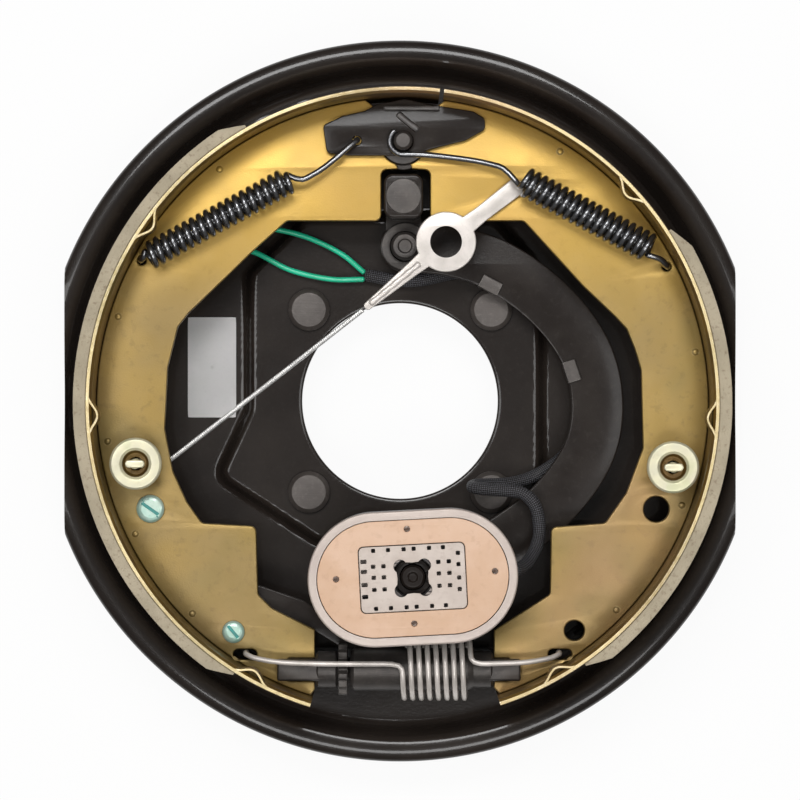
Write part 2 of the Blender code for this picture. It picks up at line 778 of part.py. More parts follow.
def secondary_shoe():
    seat = ANCHOR_SEAT_RADIUS + SEAT_GAP
    inner_edge = [
        (FORK_EDGE_LEFT, -90.5),
        (-50.7, -82.0),
        (-56.2, -76.5),
        (-57.0, -49.5),
        (-78.4, -48.3),
        (-84.3, -40.0),
        (-89.9, -27.7),
        (-93.1, -11.0),
        (-91.9, 13.1),
        (-87.9, 29.3),
        (-83.2, 35.2),
        (-67.7, 49.1),
        (-57.4, 58.6),
        (-42.8, WEB_TOP_EDGE),
        (WINDOW_LEFT, WEB_TOP_EDGE),
        (WINDOW_LEFT, WINDOW_TOP),
        (-0.8, WINDOW_TOP + 0.4),
    ]
    fork = notch_corners(NOTCH_FLOOR_LEFT, FORK_EDGE_LEFT, -114.0)
    outline = outer_edge(97, 252.5) + fork + rounded(inner_edge, 2.0, 2, closed=False)
    outline += arc(ANCHOR, seat, 252, 118, 10)
    holes = [
        circle(HOLD_DOWNS["left"], HOLD_HOLE_RADIUS, 16),
        circle(GUIDE, 3.0, 14),
        circle(PAWL, PAWL_HOLE_RADIUS, 14),
        circle(SPRING_HOLE_LEFT, SPRING_HOLE_RADIUS, 10),
        stadium(ADJUSTER_HOOK_LEFT, *ADJUSTER_HOOK_SLOT, 0, 5),
    ]
    return shoe("secondary_shoe", outline, holes, SECONDARY_TABLE_ANGLES, SECONDARY_LINING_ANGLES,
                SECONDARY_CRIMPS)


def primary_shoe():
    seat = ANCHOR_SEAT_RADIUS + SEAT_GAP
    inner_edge = [
        (4.8, WINDOW_TOP + 0.4),
        (WINDOW_RIGHT, WINDOW_TOP),
        (WINDOW_RIGHT, WEB_TOP_EDGE),
        (46.3, WEB_TOP_EDGE),
        (68.5, 45.5),
        (86.7, 32.9),
        (92.7, 20.6),
        (95.4, 12.3),
        (96.2, -18.6),
        (89.5, -36.4),
        (81.2, -48.3),
        (59.8, -49.9),
        (59.4, -76.5),
        (FORK_EDGE_RIGHT, -90.7),
    ]
    fork = notch_corners(NOTCH_FLOOR_RIGHT, FORK_EDGE_RIGHT, -113.4)[::-1]
    outline = arc(ANCHOR, seat, 62, -72, 10) + rounded(inner_edge, 2.0, 2, closed=False) + fork
    outline += outer_edge(-71.5, 82)
    holes = [
        circle(HOLD_DOWNS["right"], HOLD_HOLE_RADIUS, 16),
        circle(SPARE_HOLE_UPPER, 5.1, 18),
        circle(SPARE_HOLE_LOWER, 4.0, 16),
        circle(LINK_HOOK, 2.2, 12),
        circle(SPRING_HOLE_RIGHT, SPRING_HOLE_RADIUS, 10),
        stadium(ADJUSTER_HOOK_RIGHT, *ADJUSTER_HOOK_SLOT, 0, 5),
    ]
    return shoe("primary_shoe", outline, holes, PRIMARY_TABLE_ANGLES, PRIMARY_LINING_ANGLES,
                PRIMARY_CRIMPS)


def hold_down(side):
    place = HOLD_DOWNS[side]
    at = (place.x, place.y, 0)
    seat = WEB_FRONT_Z + SEAT_GAP
    back = FIELD_BACK_Z - SEAT_GAP
    pin_top = HOLD_CUP_Z + 5.2
    pin = turned(
        f"hold_down_pin_{side}",
        [
            (0, pin_top),
            (HOLD_PIN_RADIUS, pin_top),
            (HOLD_PIN_RADIUS, back),
            (4.5, back),
            (4.0, back - 2),
            (0, back - 2),
        ],
        FINISH["yellow zinc"],
        12,
        at,
    )
    head_low = (place.x - 3.8, place.y - 1.5, pin_top - 2.4)
    head_high = (place.x + 3.8, place.y + 1.5, pin_top + 0.4)
    head = block(f"pin head {side}", head_low, head_high)
    join(pin, head)
    inner_profile = [
        (2.6, seat + 1.2),
        (7.6, seat + 1.2),
        (7.9, seat + 2.6),
        (8.8, seat + 2.6),
        (8.8, seat),
        (2.6, seat),
    ]
    inner = turned(f"hold_down_inner_cup_{side}", inner_profile, FINISH["yellow zinc"], 12, at)
    top = HOLD_CUP_Z
    cup_profile = [
        (2.6, top + 0.4),
        (5.0, top + 0.4),
        (HOLD_CUP_RADIUS - 1.2, top + 1.2),
        (HOLD_CUP_RADIUS, top),
        (HOLD_CUP_RADIUS, top - 4.0),
        (HOLD_CUP_RADIUS - 1.1, top - 4.0),
        (HOLD_CUP_RADIUS - 1.3, top - 0.2),
        (5.0, top - 0.9),
        (2.6, top - 0.9),
    ]
    cup = turned(f"hold_down_cup_{side}", cup_profile, FINISH["yellow zinc"], 14, at)
    turns = coil(
        point(place, seat + 1.2 + SEAT_GAP + 1.0),
        point(place, top - 0.2 - SEAT_GAP - 1.0),
        HOLD_SPRING_RADIUS,
        HOLD_SPRING_TURNS,
        8,
    )
    spring = wire(f"hold_down_spring_{side}", turns, 0.9, FINISH["spring steel"], 0)
    return [pin, inner, cup, spring]


def actuating_arm():
    """The stamped arm: a curved strap with a pivot boss, and the cam block between the shoe ends."""
    widths = (ARM_BOSS_RADIUS * 2, ARM_WIDTH, ARM_WIDTH, ARM_WIDTH, ARM_WIDTH)
    strap = ribbon(ARM_PATH, widths, 3)
    arm = slab("actuating_arm", [strap], ARM_BACK_Z, ARM_FRONT_Z, FINISH["black paint"])
    neck_size = (CAM_RIGHT - CAM_LEFT - 1.2, CAM_TOP - 3 - PIVOT.y)
    neck = box_outline(((CAM_LEFT + CAM_RIGHT) / 2, (CAM_TOP - 3 + PIVOT.y) / 2), neck_size)
    skin = 0.01
    join(arm, slab("neck", [neck], ARM_BACK_Z + skin, ARM_FRONT_Z - skin, None))
    cam = box_outline(
        ((CAM_LEFT + CAM_RIGHT) / 2, (CAM_BOTTOM + CAM_TOP) / 2),
        (CAM_RIGHT - CAM_LEFT, CAM_TOP - CAM_BOTTOM),
    )
    join(arm, slab("cam", [rounded(cam, 3.6, 3)], ARM_BACK_Z + 2 * skin, CAM_FRONT_Z, None))
    holes = [circle(PIVOT, PIVOT_RADIUS, 18), circle(MAGNET, MAGNET_POST_RADIUS + SEAT_GAP, 16)]
    cut(arm, slab("arm holes", holes, ARM_BACK_Z - 3, ARM_FRONT_Z + 3, None))
    return arm


def wire_clip(number, share):
    """A folded clip over the arm's inner edge, at a share of the arm's length, open towards the arm."""
    line = spline_through([Vector((x, y, 0)) for x, y in ARM_PATH], 10)
    i = int(share * (len(line) - 1))
    along = (line[i + 1] - line[i - 1]).normalized()
    outward = Vector((-along.y, along.x))
    edge = line[i].xy - outward * ARM_WIDTH / 2
    center = edge + outward * 2.2
    degrees = math.degrees(math.atan2(outward.y, outward.x))
    outer = box_outline(center, (8.4, 5.6), 0.0, degrees)
    shifted = center + outward * 3.0
    inner = box_outline(shifted, (12.0, 8.0), 0.0, degrees)
    back = ARM_BACK_Z - SEAT_GAP
    front = ARM_FRONT_Z + SEAT_GAP
    clip = slab(f"wire_clip_{number}", [outer], back - CLIP_SHEET, front + CLIP_SHEET, FINISH["dark steel"])
    cut(clip, slab(f"clip mouth {number}", [inner], back, front, None))
    return clip


def magnet_outline(inset=0.0, steps=8):
    return stadium(MAGNET, MAGNET_LENGTH - 2 * inset, MAGNET_BREADTH - 2 * inset, MAGNET_TILT, steps)


def lobed_opening():
    """The four-lobed opening round the magnet's post."""
    mean = (MAGNET_LOBE_REACH + MAGNET_BORE_RADIUS) / 2
    swing = (MAGNET_LOBE_REACH - MAGNET_BORE_RADIUS) / 2
    return [
        polar(MAGNET, mean + swing * math.cos(math.radians(4 * angle - 180)), angle + MAGNET_TILT)
        for angle in range(0, 360, 15)
    ]


def grid_holes():
    turn = Matrix.Rotation(math.radians(MAGNET_TILT), 2)
    holes = []
    for row in range(GRID_ROWS):
        for column in range(GRID_COLUMNS):
            across = (column - (GRID_COLUMNS - 1) / 2) * GRID_PITCH[0]
            step = Vector((across, (row - (GRID_ROWS - 1) / 2) * GRID_PITCH[1]))
            if abs(step.x) < GRID_CLEAR[0] and abs(step.y) < GRID_CLEAR[1]:
                continue
            holes.append(box_outline(MAGNET + turn @ step, (GRID_HOLE, GRID_HOLE), 0, MAGNET_TILT))
    return holes


def magnet_pieces():
    rim_back = MAGNET_FACE_Z - MAGNET_RIM_DEPTH
    floor = MAGNET_FACE_Z - MAGNET_INSERT_DEPTH
    case = slab("magnet_case", [magnet_outline()], rim_back, MAGNET_FACE_Z, FINISH["magnet steel"])
    back = [magnet_outline(MAGNET_BACK_INSET)]
    join(case, slab("magnet back", back, MAGNET_BACK_Z, rim_back + 0.5, None))
    cut(case, slab("recess", [magnet_outline(MAGNET_RIM_WIDTH)], floor, MAGNET_FACE_Z + 2, None))
    bore = [circle(MAGNET, MAGNET_POST_RADIUS + 0.5, 20)]
    cut(case, slab("magnet bore", bore, MAGNET_BACK_Z - 2, floor + 1, None))
    clip_seat = [circle(MAGNET, MAGNET_LOBE_REACH, 24)]
    cut(case, slab("clip seat", clip_seat, floor - MAGNET_CLIP_DEPTH, floor + 1, None))
    low = floor + SEAT_GAP
    high = MAGNET_FACE_Z - MAGNET_INSERT_SETBACK
    grid = box_outline(MAGNET, (GRID_LENGTH, GRID_BREADTH), 2.0, MAGNET_TILT)
    space_size = (GRID_LENGTH + 2 * SEAT_GAP, GRID_BREADTH + 2 * SEAT_GAP)
    space = box_outline(MAGNET, space_size, 2.2, MAGNET_TILT)
    rivets = [circle(place, MAGNET_RIVET_RADIUS, 10) for place in MAGNET_RIVETS]
    face_outline = magnet_outline(MAGNET_RIM_WIDTH + SEAT_GAP)
    face = slab("magnet_face", [face_outline, space, *rivets], low, high, FINISH["copper face"])
    core = slab("magnet_core_face", [grid, lobed_opening(), *grid_holes()], low, high, FINISH["cream core"])
    return [case, face, core]


def magnet_mount():
    """The post riveted to the arm, the clip that keeps the magnet and the spring that presses it out."""
    under = ARM_BACK_Z - SEAT_GAP
    seat = ARM_FRONT_Z + SEAT_GAP
    post = turned(
        "magnet_post",
        [
            (0, MAGNET_POST_TIP_Z),
            (MAGNET_POST_RADIUS - 1, MAGNET_POST_TIP_Z),
            (MAGNET_POST_RADIUS, MAGNET_POST_TIP_Z - 1),
            (MAGNET_POST_RADIUS, seat + 2.4),
            (8.0, seat + 2.4),
            (8.0, seat),
            (MAGNET_POST_RADIUS, seat),
            (MAGNET_POST_RADIUS, under),
            (7.5, under),
            (6.6, under - 2.6),
            (0, under - 2.6),
        ],
        FINISH["dark steel"],
        12,
        (MAGNET.x, MAGNET.y, 0),
    )
    floor = MAGNET_FACE_Z - MAGNET_INSERT_DEPTH - MAGNET_CLIP_DEPTH
    outer = arc(MAGNET, 7.4, 20, 340, 18)
    inner = arc(MAGNET, MAGNET_POST_RADIUS + SEAT_GAP, 340, 20, 14)
    low = floor + SEAT_GAP
    clip = slab("magnet_clip", [outer + inner], low, low + 1.2, FINISH["spring steel"])
    turns = coil(
        point(MAGNET, seat + 2.4 + SEAT_GAP + 1.0),
        point(MAGNET, MAGNET_BACK_Z - SEAT_GAP - 1.0),
        MAGNET_SPRING_RADIUS,
        MAGNET_SPRING_TURNS,
        8,
    )
    spring = wire("magnet_spring", turns, 1.0, FINISH["spring steel"], 0)
    return [post, clip, spring]


def tongue(name, near, far, floor, outward):
    """The flat end of an adjuster piece, slotted to straddle a web."""
    low = WEB_MID_Z - TONGUE_THICKNESS / 2
    high = WEB_MID_Z + TONGUE_THICKNESS / 2
    half = NOTCH_HALF_HEIGHT - SEAT_GAP
    ends = sorted((near, far))
    body = block(name, (ends[0], ADJUSTER.y - half, low), (ends[1], ADJUSTER.y + half, high))
    slot_ends = sorted((floor + outward * -SEAT_GAP, far + outward * 3))
    slot = block(
        name + " slot",
        (slot_ends[0], ADJUSTER.y - 9, WEB_BACK_Z - SEAT_GAP),
        (slot_ends[1], ADJUSTER.y + 9, WEB_FRONT_Z + SEAT_GAP),
    )
    return body, slot


def star_outline():
    outline = []
    for tooth in range(STAR_TEETH):
        base = 360.0 * tooth / STAR_TEETH
        step = 360.0 / STAR_TEETH
        outline.append(polar((0, 0), STAR_RADIUS - 2.0, base))
        outline.append(polar((0, 0), STAR_RADIUS, base + step * 0.25))
        outline.append(polar((0, 0), STAR_RADIUS, base + step * 0.6))
        outline.append(polar((0, 0), STAR_RADIUS - 2.0, base + step * 0.85))
    return outline


def adjuster():
    """Socket at the left, screw with its star wheel and nut barrel at the right, on one axis."""
    axis = (0, ADJUSTER.y, WEB_MID_Z)
    along = Euler((0, math.pi / 2, 0))
    star_left = STAR_X
    star_right = STAR_X + STAR_THICKNESS
    bore = SCREW_RADIUS + SEAT_GAP
    socket_right = star_left - SEAT_GAP
    socket_left = FORK_EDGE_LEFT + SEAT_GAP
    socket = turned(
        "adjuster_socket",
        [
            (0, socket_right - 6),
            (bore, socket_right - 6),
            (bore, socket_right),
            (SOCKET_RADIUS, socket_right),
            (SOCKET_RADIUS, socket_left + 1),
            (SOCKET_RADIUS - 1, socket_left),
            (0, socket_left),
        ],
        FINISH["dark steel"],
        14,
        axis,
        along,
    )
    left_end = NOTCH_FLOOR_LEFT - TONGUE_OVERLAP
    body, slot = tongue("socket tongue", socket_left + 2, left_end, NOTCH_FLOOR_LEFT, -1)
    join(socket, body)
    cut(socket, slot)
    nut_left = star_right + 1.2
    nut_right = FORK_EDGE_RIGHT - SEAT_GAP
    barrel_end = 27.0
    nut = turned(
        "adjuster_nut",
        [
            (0, nut_right),
            (SOCKET_RADIUS - 1, nut_right),
            (SOCKET_RADIUS, nut_right - 1),
            (SOCKET_RADIUS, barrel_end + 1),
            (BARREL_RADIUS, barrel_end),
            (BARREL_RADIUS, nut_left + 1),
            (BARREL_RADIUS - 1, nut_left),
            (bore, nut_left),
            (bore, 14.0),
            (0, 14.0),
        ],
        FINISH["dark steel"],
        14,
        axis,
        along,
    )
    right_end = NOTCH_FLOOR_RIGHT + TONGUE_OVERLAP
    body, slot = tongue("nut tongue", nut_right - 2, right_end, NOTCH_FLOOR_RIGHT, 1)
    join(nut, body)
    cut(nut, slot)
    screw = turned(
        "star_wheel_screw",
        [
            (0, 12.0),
            (SCREW_RADIUS - 0.8, 12.0),
            (SCREW_RADIUS, 11.2),
            (SCREW_RADIUS, star_left - 5.2),
            (0, star_left - 5.2),
        ],
        FINISH["dark steel"],
        14,
        axis,
        along,
    )
    star = slab("star", [star_outline()], star_left, star_right, None)
    lie_along_x(star, (0, ADJUSTER.y, WEB_MID_Z))
    join(screw, star)
    return [socket, nut], [screw]


def adjuster_spring():
    axis = Vector((0, ADJUSTER_SPRING_Y, WEB_MID_Z))
    first = math.radians(78.5)
    per_turn = 8
    count = ADJUSTER_SPRING_TURNS * per_turn
    length = ADJUSTER_SPRING_RIGHT - ADJUSTER_SPRING_LEFT
    turns = []
    for i in range(count + 1):
        angle = first + 2 * math.pi * i / per_turn
        x = ADJUSTER_SPRING_LEFT + length * i / count
        spoke = Vector((0, math.cos(angle), math.sin(angle)))
        turns.append(axis + Vector((x, 0, 0)) + ADJUSTER_SPRING_RADIUS * spoke)
    left_arm = [
        point(ADJUSTER_HOOK_LEFT - Vector((0.4, 0)), 54.6),
        point(ADJUSTER_HOOK_LEFT - Vector((0.5, 0)), 62.0),
        (-60.2, -100.2, 65.0),
        (-56.0, -101.6, 66.9),
        (-46.0, -103.0, 68.6),
        (-30.0, -103.4, 70.3),
        (-3.0, -103.4, 70.4),
    ]
    right_arm = [
        (32.0, -103.4, 70.3),
        (48.0, -103.0, 68.6),
        (58.0, -101.6, 66.9),
        (62.2, -100.2, 65.0),
        point(ADJUSTER_HOOK_RIGHT + Vector((0.5, 0)), 62.0),
        point(ADJUSTER_HOOK_RIGHT + Vector((0.4, 0)), 54.6),
    ]
    line = left_arm + turns + right_arm
    return wire("adjuster_spring", line, ADJUSTER_WIRE_RADIUS, FINISH["bright zinc"])


def retractor_springs():
    left_turns = coil(
        point(LEFT_SPRING_START, SPRING_Z),
        point(LEFT_SPRING_END, SPRING_Z),
        LEFT_SPRING_RADIUS - SPRING_WIRE_RADIUS,
        LEFT_SPRING_TURNS,
        6,
        drawn_in=True,
    )
    left_hook = [
        point(ANCHOR_PLATE_HOLE, 61.9),
        point(ANCHOR_PLATE_HOLE, 65.0),
        (-19.0, 101.2, 66.8),
        (-30.0, 91.8, 69.0),
        (-39.6, 86.2, 70.0),
    ]
    left_end = [(-101.2, 56.1, 68.8), point(SPRING_HOLE_LEFT, 65.5), point(SPRING_HOLE_LEFT, 57.0)]
    line = left_hook + left_turns + left_end
    left = wire("retractor_spring_left", line, SPRING_WIRE_RADIUS, FINISH["black spring"])
    right_turns = coil(
        point(RIGHT_SPRING_START, SPRING_Z),
        point(RIGHT_SPRING_END, SPRING_Z),
        RIGHT_SPRING_RADIUS - SPRING_WIRE_RADIUS,
        RIGHT_SPRING_TURNS,
        6,
        drawn_in=True,
    )
    loop_z = WEB_FRONT_Z + SEAT_GAP + ANCHOR_PLATE_THICKNESS + SEAT_GAP + SPRING_WIRE_RADIUS
    loop_radius = ANCHOR_TIP_RADIUS + SPRING_WIRE_RADIUS + SEAT_GAP
    loop = [point(place, loop_z) for place in arc(ANCHOR, loop_radius, 130, 275, 8)]
    right_hook = [*loop, (12.0, 97.0, loop_z), (30.0, 94.6, 67.0), (42.0, 91.6, 69.4)]
    right_end = [(102.4, 56.2, 69.0), point(SPRING_HOLE_RIGHT, 65.6), point(SPRING_HOLE_RIGHT, 57.0)]
    line = right_hook + right_turns + right_end
    right = wire("retractor_spring_right", line, SPRING_WIRE_RADIUS, FINISH["black spring"])
    return left, right


def cable_link():
    """The flat link of the adjusting cable: a ring with an arm to the primary shoe and a tapered tail."""
    low = LINK_Z
    high = LINK_Z + LINK_THICKNESS
    path = [tuple(LINK_HOOK), tuple(LINK_RING), tuple(LINK_TAIL)]
    outline = ribbon(path, (7.0, 6.4, 8.6, 5.4, 3.2), 2)
    link = slab("cable_link", [outline], low, high, FINISH["bright zinc"])
    join(link, slab("link ring", [circle(LINK_RING, LINK_RING_RADIUS, 28)], low - 0.01, high + 0.01, None))
    cut(link, slab("link hole", [circle(LINK_RING, LINK_HOLE_RADIUS, 20)], low - 2, high + 2, None))
    join(link, cylinder("link peg", LINK_HOOK, 1.8, WEB_BACK_Z - 3.0, high - 0.4, None, 12))
    return link


def adjuster_cable():
    route = [
        (-14.8, 35.9, 62.3),
        (-50.0, 8.5, 58.2),
        (-84.0, -17.8, 54.0),
        (-93.0, -24.8, 52.9),
        (-101.0, -31.4, 51.6),
        (-106.4, -37.8, 50.9),
        (-107.8, -43.8, 50.9),
        (-104.8, -50.4, 50.9),
        (-96.0, -58.6, 50.9),
        (-78.2, -74.2, 50.9),
    ]
    line = spline_through([Vector(place) for place in route], 2)
    return wire("adjuster_cable", line, CABLE_RADIUS, FINISH["bright zinc"])


def cable_guide():
    """The grooved guide behind the secondary web, and the slotted rivet that holds it."""
    at = (GUIDE.x, GUIDE.y, 0)
    top = WEB_BACK_Z - SEAT_GAP
    groove_low = CABLE_Z - 1.8
    groove_high = CABLE_Z + 1.8
    guide = turned(
        "cable_guide",
        [
            (3.0, top),
            (GUIDE_RADIUS + 2.0, top),
            (GUIDE_RADIUS + 2.0, groove_high + 0.6),
            (GUIDE_RADIUS, groove_high),
            (GUIDE_RADIUS, groove_low),
            (GUIDE_RADIUS + 2.0, groove_low - 0.6),
            (GUIDE_RADIUS + 2.0, groove_low - 1.6),
            (3.0, groove_low - 1.6),
        ],
        FINISH["bright zinc"],
        14,
        at,
    )
    seat = WEB_FRONT_Z + SEAT_GAP
    under = groove_low - 1.6 - SEAT_GAP
    rivet = turned(
        "cable_guide_rivet",
        [
            (0, seat + 2.2),
            (GUIDE_RIVET_RADIUS - 1.4, seat + 2.2),
            (GUIDE_RIVET_RADIUS, seat + 1.0),
            (GUIDE_RIVET_RADIUS, seat),
            (2.7, seat),
            (2.7, under),
            (4.6, under),
            (4.0, under - 1.8),
            (0, under - 1.8),
        ],
        FINISH["green zinc"],
        12,
        at,
    )
    slot = slab("rivet slot", [box_outline(GUIDE, (14.0, 1.3), 0, -35)], seat + 1.3, seat + 4, None)
    cut(rivet, slot)
    return [guide, rivet]


def pawl_set():
    at = (PAWL.x, PAWL.y, 0)
    back = PAWL_FRONT_Z - PAWL_THICKNESS
    corners = [
        (-77.0, -77.0),
        (-70.0, -74.0),
        (-56.0, -73.2),
        (-37.8, -79.5),
        (-22.4, -91.5),
        (-20.8, -97.2),
        (-24.8, -97.2),
        (-34.0, -91.4),
        (-48.0, -88.4),
        (-59.0, -96.0),
        (-67.0, -98.0),
        (-72.6, -93.0),
        (-76.4, -83.0),
    ]
    outline = rounded(corners[::-1], 2.0, 2)
    hole = circle(PAWL, PAWL_HOLE_RADIUS, 14)
    pawl = slab("adjuster_pawl", [outline, hole], back, PAWL_FRONT_Z, FINISH["black paint"])
    seat = WEB_FRONT_Z + SEAT_GAP
    rivet = turned(
        "pawl_rivet",
        [
            (0, seat + 1.9),
            (PAWL_RIVET_RADIUS - 1.0, seat + 1.9),
            (PAWL_RIVET_RADIUS, seat + 0.9),
            (PAWL_RIVET_RADIUS, seat),
            (2.2, seat),
            (2.2, WEB_BACK_Z - SEAT_GAP),
            (3.8, WEB_BACK_Z - SEAT_GAP),
            (3.8, PAWL_FRONT_Z + SEAT_GAP),
            (2.2, PAWL_FRONT_Z + SEAT_GAP),
            (2.2, back - SEAT_GAP),
            (3.6, back - SEAT_GAP),
            (3.2, back - SEAT_GAP - 1.4),
            (0, back - SEAT_GAP - 1.4),
        ],
        FINISH["green zinc"],
        12,
        at,
    )
    slot = [box_outline(PAWL, (12.0, 1.2), 0, -50)]
    cut(rivet, slab("pawl rivet slot", slot, seat + 1.1, seat + 4, None))
    return pawl, rivet


def leads():
    """Two green leads from the grommet to the arm, and the sleeved lead that goes on to the magnet."""
    first = [
        (-68.7, 67.2, 17.5),
        (-68.7, 67.2, 25.0),
        (-65.0, 69.4, 29.6),
        (-53.0, 69.4, 32.0),
        (-38.0, 66.0, 32.2),
        (-24.0, 59.4, 32.0),
        (-14.6, 51.8, 31.6),
    ]
    second = [
        (-71.3, 64.8, 17.5),
        (-71.3, 64.8, 24.0),
        (-67.0, 62.6, 29.0),
        (-57.0, 59.2, 31.0),
        (-44.0, 52.6, 31.6),
        (-28.0, 49.0, 31.6),
        (-14.8, 48.9, 31.6),
    ]
    sleeve = [
        (-13.2, 50.4, 31.6),
        (4.0, 48.2, 31.6),
        (24.0, 51.6, 31.6),
        (42.0, 51.0, 31.6),
        (58.0, 38.0, 31.6),
        (70.0, 19.0, 31.6),
        (74.0, 0.0, 31.6),
        (70.0, -17.0, 31.6),
        (57.0, -28.5, 33.0),
        (44.0, -33.0, 36.0),
        (31.5, -33.5, 39.5),
        (29.5, -34.5, 45.5),
        (38.0, -35.4, 48.5),
        (48.0, -36.4, 50.0),
        (53.6, -41.5, 51.5),
        (55.6, -50.0, 55.0),
        (55.0, -57.5, 61.0),
        (50.4, -64.6, 69.0),
        (45.4, -66.4, 71.0),
    ]
    made = []
    for name, route, radius, finish in (
        ("green_lead_1", first, LEAD_RADIUS, "green lead"),
        ("green_lead_2", second, LEAD_RADIUS, "green lead"),
        ("lead_sleeve", sleeve, SLEEVE_RADIUS, "rubber"),
    ):
        line = spline_through([Vector(place) for place in route], 2)
        made.append(wire(name, line, radius, FINISH[finish]))
    return made


def axis_empty(name, place, z, carried):
    """An empty on a joint's axis that carries the pieces of one moving body."""
    axis = bpy.data.objects.new(name, None)
    PARTS.objects.link(axis)
    axis.empty_display_size = 0.01
    axis.location = Vector((place[0], place[1], z)) * MM
    for obj in carried:
        obj.parent = axis
        obj.location = obj.location - axis.location
    return axis


def build_brake():
    backing_plate()
    mounting_studs()
    anchor_post()
    anchor_plate()
    pivot_set()
    grommet_and_plugs()
    label()
    for side in HOLD_DOWNS:
        hold_down(side)
    socket_and_nut, screw = adjuster()
    axis_empty("star_wheel_axis", ADJUSTER, WEB_MID_Z, screw)
    adjuster_spring()
    spring_left, spring_right = retractor_springs()
    pawl, pawl_rivet = pawl_set()
    axis_empty("pawl_axis", PAWL, PAWL_FRONT_Z, [pawl])
    secondary = [*secondary_shoe(), *cable_guide(), pawl_rivet, spring_left]
    primary = [*primary_shoe(), cable_link(), adjuster_cable(), spring_right]
    axis_empty("secondary_shoe_axis", (NOTCH_FLOOR_LEFT, ADJUSTER.y), WEB_MID_Z, secondary)
    axis_empty("primary_shoe_axis", (NOTCH_FLOOR_RIGHT, ADJUSTER.y), WEB_MID_Z, primary)
    clips = [wire_clip(1, 0.2), wire_clip(2, 0.43)]
    post, clip, spring = magnet_mount()
    green_1, green_2, sleeve = leads()
    axis_empty("lever_axis", PIVOT, ARM_FRONT_Z, [actuating_arm(), *clips, post, clip, spring, sleeve])
    axis_empty("magnet_axis", MAGNET, MAGNET_FACE_Z, magnet_pieces())


clear_scene()
PARTS = new_collection("electric_trailer_brake")
CUTTERS = new_collection("cutters")
FINISH = {
    "black paint": material("black paint", (0.022, 0.020, 0.020), 0.45, 0.1),
    "dark steel": material("dark steel", (0.085, 0.080, 0.078), 0.45, 0.7),
    "spring steel": material("spring steel", (0.28, 0.28, 0.28), 0.35, 0.9),
    "black spring": material("black spring", (0.015, 0.015, 0.016), 0.30, 0.5),
    "bright zinc": material("bright zinc", (0.62, 0.63, 0.62), 0.30, 0.9),
    "yellow zinc": material("yellow zinc", (0.48, 0.34, 0.11), 0.38, 0.7),
    "green zinc": material("green zinc", (0.45, 0.62, 0.55), 0.35, 0.6),
    "lining": material("lining", (0.42, 0.35, 0.28), 0.85, 0.0),
    "rubber": material("rubber", (0.02, 0.02, 0.02), 0.7, 0.0),
    "label": material("label", (0.75, 0.75, 0.77), 0.5, 0.0),
    "copper face": material("copper face", (0.75, 0.52, 0.37), 0.5, 0.2),
    "cream core": material("cream core", (0.74, 0.66, 0.52), 0.6, 0.0),
    "magnet steel": material("magnet steel", (0.62, 0.56, 0.55), 0.4, 0.6),
    "green lead": material("green lead", (0.02, 0.46, 0.24), 0.4, 0.0),
}
build_brake()
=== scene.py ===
"""Looks of an electric trailer brake that lies on its back on a pale floor.

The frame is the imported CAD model, in metres. Sizes here are millimetres, in the
same frame: +Z is the wheel axis, +Y is up on the vehicle, and the origin is on the
wheel axis in the plane of the mounting studs' tips.
"""

import json
import logging
import math
from collections.abc import Callable, Sequence
from dataclasses import dataclass
from enum import Enum
from functools import cache
from typing import Any

import bmesh
import bpy
import numpy as np
from mathutils import Matrix, Vector

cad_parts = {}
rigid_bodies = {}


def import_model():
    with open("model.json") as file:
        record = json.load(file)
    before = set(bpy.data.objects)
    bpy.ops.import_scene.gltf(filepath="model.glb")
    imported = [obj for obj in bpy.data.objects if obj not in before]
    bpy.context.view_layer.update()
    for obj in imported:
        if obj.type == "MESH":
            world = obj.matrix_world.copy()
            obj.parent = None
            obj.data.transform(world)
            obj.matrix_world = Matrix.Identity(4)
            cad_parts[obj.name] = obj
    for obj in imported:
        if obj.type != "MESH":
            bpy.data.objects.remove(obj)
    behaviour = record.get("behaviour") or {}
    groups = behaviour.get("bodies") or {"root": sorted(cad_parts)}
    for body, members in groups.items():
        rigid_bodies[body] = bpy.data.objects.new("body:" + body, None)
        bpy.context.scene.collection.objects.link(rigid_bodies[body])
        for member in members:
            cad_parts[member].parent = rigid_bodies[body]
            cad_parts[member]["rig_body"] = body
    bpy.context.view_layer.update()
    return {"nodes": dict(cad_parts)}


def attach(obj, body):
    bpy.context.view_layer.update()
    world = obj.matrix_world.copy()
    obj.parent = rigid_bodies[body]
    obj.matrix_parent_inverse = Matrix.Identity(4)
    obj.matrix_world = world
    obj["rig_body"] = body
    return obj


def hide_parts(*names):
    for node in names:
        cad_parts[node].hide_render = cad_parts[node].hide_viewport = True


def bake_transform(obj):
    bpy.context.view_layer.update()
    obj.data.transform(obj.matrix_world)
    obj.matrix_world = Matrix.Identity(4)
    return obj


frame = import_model()
LOG = logging.getLogger("brake")

Colour = tuple[float, float, float]
Flat = Sequence[float]
Loop = Sequence[Flat]
Outline = list[Vector]
Mesh = bpy.types.Mesh

MM = 0.001
WHITE = (1.0, 1.0, 1.0)
PLATE_FRONT, PLATE_BACK = 22.3, 18.7
WEB_LOW, WEB_HIGH = 56.25, 60.75
WEB_MID = (WEB_LOW + WEB_HIGH) / 2
BEHIND_WEB, BEFORE_WEB = 55.95, 61.05
SHOE_LOW, SHOE_HIGH = 30.0, 87.0
SHOE_CENTER = (1.0, -1.0)
ANCHOR_AXIS = (1.2, 102.6)
ADJUSTER_Y = -106.2
PIVOT_AXIS = (2.0, 61.8)
MAGNET_AXIS = (5.0, -68.8)
ARM_LOW, ARM_HIGH = 36.0, 41.0
ARM_BACK = 35.7
THREAD_PITCH = 1.25
COIL_POINTS = 32


# Shared effects, as shader node groups

